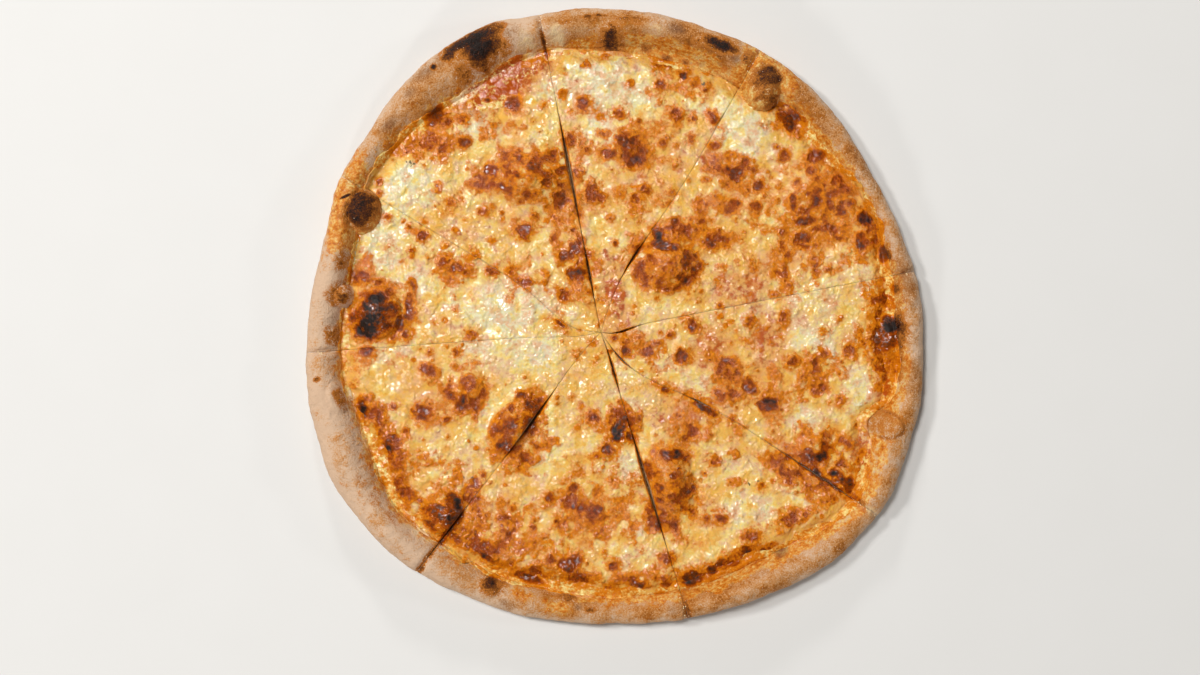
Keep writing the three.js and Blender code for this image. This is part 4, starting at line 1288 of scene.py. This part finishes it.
def cheese_paint(piece, x, y, open_lip, blisters):
    """How milky, how red and how browned the cheese is, with painted shade on the flanks of high
    bubbles, and how much its blisters are raised.
    """
    warp = lumps(x, y, 8, 121, 2) * 0.5
    mottle = lumps(x, y, 4.5, 191, 2)
    milk = 0.28 + 0.34 * lumps(x, y, 18, 131, 2) - 0.08 * smooth(-20, 60, x)
    milk += painted(MILKY, x, y, warp, 0.5)
    sauce = 0.24 + 0.34 * lumps(x, y, 12, 141, 2) + painted(SAUCE_SHOWS, x, y, warp, 0.5)
    toast = painted(TOASTED, x, y, warp, 0.6) * (0.95 + 1.2 * mottle)
    toast += 0.35 * np.maximum(0, lumps(x, y, 9, 151, 2) - 0.1)
    # High bubbles get a darker ring round their flanks, partly browning and partly painted shade.
    for bubble in BUBBLES:
        if bubble.lift > FLANK_RING_LIFT and bubble.slice in (0, piece.number):
            ring = bell(reach(bubble, x, y) * (1 + 0.3 * warp) - 0.72, 0.16)
            toast += 0.2 * ring * (0.6 + mottle)
    ragged = 0.12 + lumps(x, y, 3, 201, 2) * 0.45
    raised = painted(blisters, x, y, ragged, 0.55) * (0.97 + 0.3 * lumps(x, y, 2, 221, 2))
    halos = [s._replace(a=s.a + HALO, b=s.b + HALO, level=0.45 * s.level) for s in blisters]
    toast = np.maximum(np.maximum(toast, raised), painted(halos, x, y, warp, 0.9))
    toast = np.maximum(toast, 0.6 * open_lip)
    return milk, np.clip(sauce, 0, 1), np.clip(toast, 0, 1.2), raised


def cheese_edge(piece, closed):
    def edge(angle):
        share = (angle - piece.start.rim) / (piece.end.rim - piece.start.rim)
        radius = cheese_radius(angle)
        x, y = place(piece, share, radius, closed)
        wander = EDGE_WANDER * lumps(x, y, 8, 161, 3) + 1.6 * lumps(x, y, 26, 163)
        return swelled(radius, CHEESE_REACHES, angle) + 0.9 * climb(angle) + wander

    return edge


def cheese_piece(piece, sizes, material, blisters):
    sheets = Sheets(("milk", "sauce", "toast"))
    closed = sizes.closed_cut / MM
    rows = sizes.cheese_rows
    edge = cheese_edge(piece, closed)
    share, radius, x, y = widening_grid(piece, rows, closed, edge)
    base = floor_height(piece, share, radius, x, y) + SAUCE_THICKNESS + 1.5 * LAYER_GAP
    lip = smooth(LIP_WIDTH, 0, from_cut(piece, share, radius))
    open_lip = lip * np.minimum(1, cut_open(piece, share, radius))
    milk, sauce, toast, raised = cheese_paint(piece, x, y, open_lip, blisters)
    thick = sizes.cheese_thickness / MM + LAYER_GAP / 2
    for pool in POOLS:
        thick = thick + pool.lift * dome(pool, x, y)
    thick += lumps(x, y, 10, 171) * 0.35 + lumps(x, y, 3.6, 181) * 0.12 + raised * BLISTER_HEIGHT
    inward = edge(rim_angle(piece, share)) - radius
    rolled = np.clip(inward / (sizes.cheese_roll / MM), 0, 1)
    thick *= EDGE_SHARE + (1 - EDGE_SHARE) * smooth(0, 1, rolled) ** 0.8
    milk -= 0.7 * (1 - rolled)
    thick -= LIP_SINKS * lip + OPEN_LIP_SINKS * open_lip + EDGE_SINKS * (1 - rolled)
    top = sheets.add(x, y, base + thick, milk=milk, sauce=sauce, toast=toast)
    sheets.widening(top, rows)

    share, radius, x, y = widening_grid(piece, CHEESE_BACK_ROWS, closed, edge)
    base = floor_height(piece, share, radius, x, y) + SAUCE_THICKNESS + 1.4 * LAYER_GAP
    inward = edge(rim_angle(piece, share)) - radius
    base -= (EDGE_SINKS + 0.3) * smooth(sizes.cheese_roll / MM, 0, inward)
    bottom = sheets.add(x, y, base, milk=0.8)
    sheets.widening(bottom, CHEESE_BACK_ROWS, flipped=True)
    start, end, outer = widening_sides(top, rows)
    below_start, below_end, below_outer = widening_sides(bottom, CHEESE_BACK_ROWS)
    sheets.stitch(start, below_start, smoothed=False)
    sheets.stitch(end, below_end, smoothed=False, flipped=True)
    sheets.stitch(outer, below_outer)
    return sheets.mesh(f"melted_cheese_{piece.number}", [material])


# ------------------------------------------------------------------ scattered things

BED_COLUMNS = 150
BED_ROWS = 40
GRAINS_PER_MM2 = 0.09
CRUMBS_PER_MM2 = 0.12
FLECKS_PER_MM2 = 0.12
HERB_RISE = 1.3  # height of the flecks over a plain layer of cheese on the dough
HERBS = spots(
    (-105, 78.5, 3, 2, 30, 1), (-75, -84, 3, 2, 10, 1), (-56, 122, 2.4, 2, 0, 1),
    (98, -97, 3, 2, 20, 1), (71, -86.5, 2.4, 2, 0, 1), (24, -28, 2, 2, 0, 0.8),
    (46, 118, 2, 2, 0, 0.8),
)  # fmt: skip


def bare_material(name, tone, roughness):
    return new_material(name, Base_Color=rgba(tone), Roughness=roughness)[0]


def scatter_tree(name, material, shape, seed):
    """Geometry Nodes that put turned pebbles on a mesh, as thick as its amount says."""
    tree = bpy.data.node_groups.new(name, "GeometryNodeTree")
    for socket, kind, side in (
        ("Geometry", "NodeSocketGeometry", "INPUT"),
        ("Density", "NodeSocketFloat", "INPUT"),
        ("Size", "NodeSocketFloat", "INPUT"),
        ("Geometry", "NodeSocketGeometry", "OUTPUT"),
    ):
        tree.interface.new_socket(name=socket, in_out=side, socket_type=kind)
    maker = Maker(tree)
    entry = tree.nodes.new("NodeGroupInput")
    bed, density, size = (Link(maker, socket) for socket in entry.outputs[:3])
    amount = maker.add("GeometryNodeInputNamedAttribute", {"data_type": "FLOAT"}, {0: "amount"})
    spread = {"Mesh": bed, "Density": density * amount, "Seed": seed}
    places = maker.add("GeometryNodeDistributePointsOnFaces", {}, spread)
    pebble = maker.add("GeometryNodeMeshIcoSphere", {}, {"Radius": 0.5, "Subdivisions": 2})
    flattened = maker.add("GeometryNodeTransform", {}, {"Geometry": pebble, "Scale": shape})
    turn = {0: (-0.3, -0.3, 0.0), 1: (0.3, 0.3, 2 * math.pi), "Seed": seed + 1}
    turned = maker.add("FunctionNodeRandomValue", {"data_type": "FLOAT_VECTOR"}, turn)
    grown = maker.add("FunctionNodeRandomValue", {}, {2: 0.5, 3: 1.0, "Seed": seed + 2}, 1)
    pebbles = {"Points": places, "Instance": flattened, "Rotation": turned, "Scale": grown * size}
    placed = maker.add("GeometryNodeInstanceOnPoints", {}, pebbles)
    solid = maker.add("GeometryNodeRealizeInstances", {}, (placed,))
    finish = {"Geometry": solid, "Material": material}
    finished = maker.add("GeometryNodeSetMaterial", {}, finish)
    tree.links.new(finished.socket, tree.nodes.new("NodeGroupOutput").inputs[0])
    return tree


def scatter(bed, tree, per_mm2, size):
    """Replaces a bed's mesh by the pebbles scattered on it."""
    modifier = bed.modifiers.new("scatter", "NODES")
    modifier.node_group = tree
    inputs = {"Density": per_mm2 / MM**2, "Size": size}
    for item in tree.interface.items_tree:
        if item.name in inputs:
            modifier[item.identifier] = inputs[item.name]
    graph = bpy.context.evaluated_depsgraph_get()
    mesh = bpy.data.meshes.new_from_object(bed.evaluated_get(graph))
    bed.modifiers.clear()
    bed.data = mesh
    return bed


def rim_bed(name, closed, amount):
    """A copy of the rim's skin with the amount(piece, share, radius, z) to scatter."""
    sheets = Sheets(("amount",))
    for piece in all_slices():
        x, y, z, share, radius = rim_points(piece, closed, BED_COLUMNS, BED_ROWS)
        flat = (x.ravel(), y.ravel(), np.zeros(x.size))
        burnt = np.minimum(painted((*RIM_CHAR, *RIM_BLISTERS), *flat, 0.6), 1)
        value = amount(piece, np.broadcast_to(share, z.shape), radius, z).ravel() * (1 - burnt)
        sheets.grid(sheets.add(x, y, z, amount=value).reshape(z.shape))
    return sheets.mesh(name, [])


def herb_bed(name, closed, sizes):
    """A sheet on the cheese with the amount of dried herb to scatter."""
    sheets = Sheets(("amount",))
    for piece in all_slices():
        edge = cheese_edge(piece, closed)
        share, radius, x, y = widening_grid(piece, CHEESE_BACK_ROWS, closed, edge)
        z = floor_height(piece, share, radius, x, y) + sizes.cheese_thickness / MM + HERB_RISE
        amount = painted(HERBS, x, y, np.zeros_like(x), 0.3)
        sheets.widening(sheets.add(x, y, z, amount=amount), CHEESE_BACK_ROWS)
    return sheets.mesh(name, [])


# ------------------------------------------------------------------ stage

FLOOR_SIZE = 6.0
FLOOR_DROP = 0.0002  # the floor lies that far below the pizza
CAMERA_PLACE = (-0.0077, -0.0108, 1.008)
CAMERA_LENS = 58.2
# (name, place, size, power), all in metres and watts.
LIGHTS = (
    ("key_light", (-2.0, 0.9, 2.5), 0.5, 47),
    ("high_light", (-0.7, 0.6, 2.6), 0.6, 42),
    ("front_light", (-0.9, -2.5, 1.0), 0.3, 20),
    ("back_light", (-0.3, 2.6, 1.0), 0.3, 20),
    ("right_light", (2.6, 0.2, 1.1), 0.3, 8),
)
STUDIO_COLOUR = (1.0, 0.95, 0.88, 1)
STUDIO_STRENGTH = 0.1


def floor_plane(scene):
    half = FLOOR_SIZE / 2
    mesh = bpy.data.meshes.new("floor")
    corners = [(-half, -half, 0), (half, -half, 0), (half, half, 0), (-half, half, 0)]
    mesh.from_pydata(corners, [], [(0, 1, 2, 3)])
    material, maker, shader = new_material("plain_floor", Roughness=0.7)
    mottle = maker.noise(40, 3)
    pale = rgba(scene.pizza_colours.floor)
    feed(maker, shader, Base_Color=maker.mix(mottle * 0.06, pale, (1.0, 1.0, 1.0)))
    mesh.materials.append(material)
    floor = bpy.data.objects.new("floor", mesh)
    floor.location.z = -FLOOR_DROP
    scene.collection.objects.link(floor)
    floor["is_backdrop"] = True


def soft_light(scene, name, where, size, power):
    light = bpy.data.lights.new(name, "AREA")
    light.shape = "DISK"
    light.size = size
    light.energy = power
    lamp = bpy.data.objects.new(name, light)
    lamp.location = where
    direction = lamp.location * -1
    lamp.rotation_euler = direction.to_track_quat("-Z", "Y").to_euler()
    scene.collection.objects.link(lamp)


def camera_above(scene):
    lens = bpy.data.cameras.new("camera")
    lens.lens = CAMERA_LENS
    camera = bpy.data.objects.new("camera", lens)
    camera.location = CAMERA_PLACE
    scene.collection.objects.link(camera)
    scene.camera = camera


def studio_world(scene):
    """A weak warm light from all round."""
    world = bpy.data.worlds.new("studio")
    scene.world = world
    world.use_nodes = True
    background = world.node_tree.nodes["Background"]
    background.inputs["Color"].default_value = STUDIO_COLOUR
    background.inputs["Strength"].default_value = STUDIO_STRENGTH


# ------------------------------------------------------------------ operators


class PIZZA_OT_crust(bpy.types.Operator):
    """Build the baked dough of every slice, with its puffed rim"""

    bl_idname = "pizza.crust"
    bl_label = "Baked crust"

    def execute(self, context):
        sizes, tones = context.scene.pizza_sizes, context.scene.pizza_colours
        materials = [crust_material(tones), underside_material(tones), crumb_material(tones)]
        for piece in all_slices():
            dough = crust_piece(piece, sizes, materials)
            settle(dough, "crust", f"crust_{piece.number}")
        return {"FINISHED"}


class PIZZA_OT_sauce(bpy.types.Operator):
    """Build the tomato sauce of every slice"""

    bl_idname = "pizza.sauce"
    bl_label = "Tomato sauce"

    def execute(self, context):
        sizes, tones = context.scene.pizza_sizes, context.scene.pizza_colours
        material = sauce_material(tones)
        for piece in all_slices():
            settle(sauce_piece(piece, sizes, material), "sauce", f"sauce_{piece.number}")
        return {"FINISHED"}


class PIZZA_OT_cheese(bpy.types.Operator):
    """Build the melted cheese of every slice, with its browned blisters"""

    bl_idname = "pizza.cheese"
    bl_label = "Melted cheese"

    def execute(self, context):
        sizes, tones = context.scene.pizza_sizes, context.scene.pizza_colours
        material = cheese_material(tones)
        blisters = [*BLISTERS, *RIM_CHAR, *small_blisters(sizes.small_blisters)]
        for piece in all_slices():
            cheese = cheese_piece(piece, sizes, material, blisters)
            settle(cheese, "cheese", f"cheese_{piece.number}")
        return {"FINISHED"}


class PIZZA_OT_scattered(bpy.types.Operator):
    """Scatter semolina and crumbs on the rim and dried herb on the cheese"""

    bl_idname = "pizza.scattered"
    bl_label = "Semolina, crumbs and herb"

    def execute(self, context):
        sizes, tones = context.scene.pizza_sizes, context.scene.pizza_colours
        closed = sizes.closed_cut / MM

        def floury(piece, share, radius, z):
            outline = around_rim(OUTLINE, rim_angle(piece, share))
            outside = smooth(-22, -4, radius - outline) * smooth(2, 5, z)
            return 0.15 * smooth(2, 5, z) + outside

        def cut_crumbs(piece, share, radius, z):
            return smooth(1.6, 0.6, from_cut(piece, share, radius)) * smooth(3, 6, z)

        material = bare_material("semolina", tones.flour, roughness=0.9)
        tree = scatter_tree("semolina", material, shape=(1, 0.8, 0.6), seed=5)
        grains = rim_bed("semolina_grains", closed, floury)
        settle(scatter(grains, tree, GRAINS_PER_MM2, sizes.grain_size), "crust")

        material = bare_material("crumbs", tones.crumb, roughness=0.9)
        tree = scatter_tree("crumbs", material, shape=(1, 0.8, 0.7), seed=15)
        crumbs = rim_bed("dough_crumbs", closed, cut_crumbs)
        settle(scatter(crumbs, tree, CRUMBS_PER_MM2, sizes.crumb_size), "crust")

        material = bare_material("dried_herb", tones.herb, roughness=0.7)
        tree = scatter_tree("herb", material, shape=(1, 0.45, 0.12), seed=25)
        flecks = herb_bed("herb_flecks", closed, sizes)
        settle(scatter(flecks, tree, FLECKS_PER_MM2, sizes.herb_size), "cheese")
        return {"FINISHED"}


class PIZZA_OT_stage(bpy.types.Operator):
    """Add the floor, the soft lights and the camera straight above"""

    bl_idname = "pizza.stage"
    bl_label = "Floor, lights and camera"

    def execute(self, context):
        scene = context.scene
        floor_plane(scene)
        for light in LIGHTS:
            soft_light(scene, *light)
        camera_above(scene)
        studio_world(scene)
        scene.view_settings.view_transform = "Standard"
        return {"FINISHED"}


class PIZZA_PT_panel(bpy.types.Panel):
    """Lists what the pizza is made of"""

    bl_label = "Margherita pizza"
    bl_space_type = "VIEW_3D"
    bl_region_type = "UI"
    bl_category = "Pizza"

    def draw(self, context):
        for group in (context.scene.pizza_sizes, context.scene.pizza_colours):
            box = self.layout.box()
            for name in group.__annotations__:
                box.prop(group, name)
        for operator in OPERATORS:
            self.layout.operator(operator.bl_idname)


OPERATORS = (
    PIZZA_OT_stage,
    PIZZA_OT_crust,
    PIZZA_OT_sauce,
    PIZZA_OT_cheese,
    PIZZA_OT_scattered,
)
CLASSES = (PizzaSizes, PizzaColours, *OPERATORS, PIZZA_PT_panel)


def register():
    for cls in CLASSES:
        bpy.utils.register_class(cls)
    bpy.types.Scene.pizza_sizes = PointerProperty(type=PizzaSizes)
    bpy.types.Scene.pizza_colours = PointerProperty(type=PizzaColours)


def unregister():
    del bpy.types.Scene.pizza_colours
    del bpy.types.Scene.pizza_sizes
    for cls in reversed(CLASSES):
        bpy.utils.unregister_class(cls)


def main():
    register()
    bpy.ops.pizza.stage()
    bpy.ops.pizza.crust()
    bpy.ops.pizza.sauce()
    bpy.ops.pizza.cheese()
    bpy.ops.pizza.scattered()
    boxes = {"cad": CAD_BOX, "visual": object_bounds()}
    plain = {name: [list(corner) for corner in box] for name, box in boxes.items()}


if __name__ == "__main__":
    main()
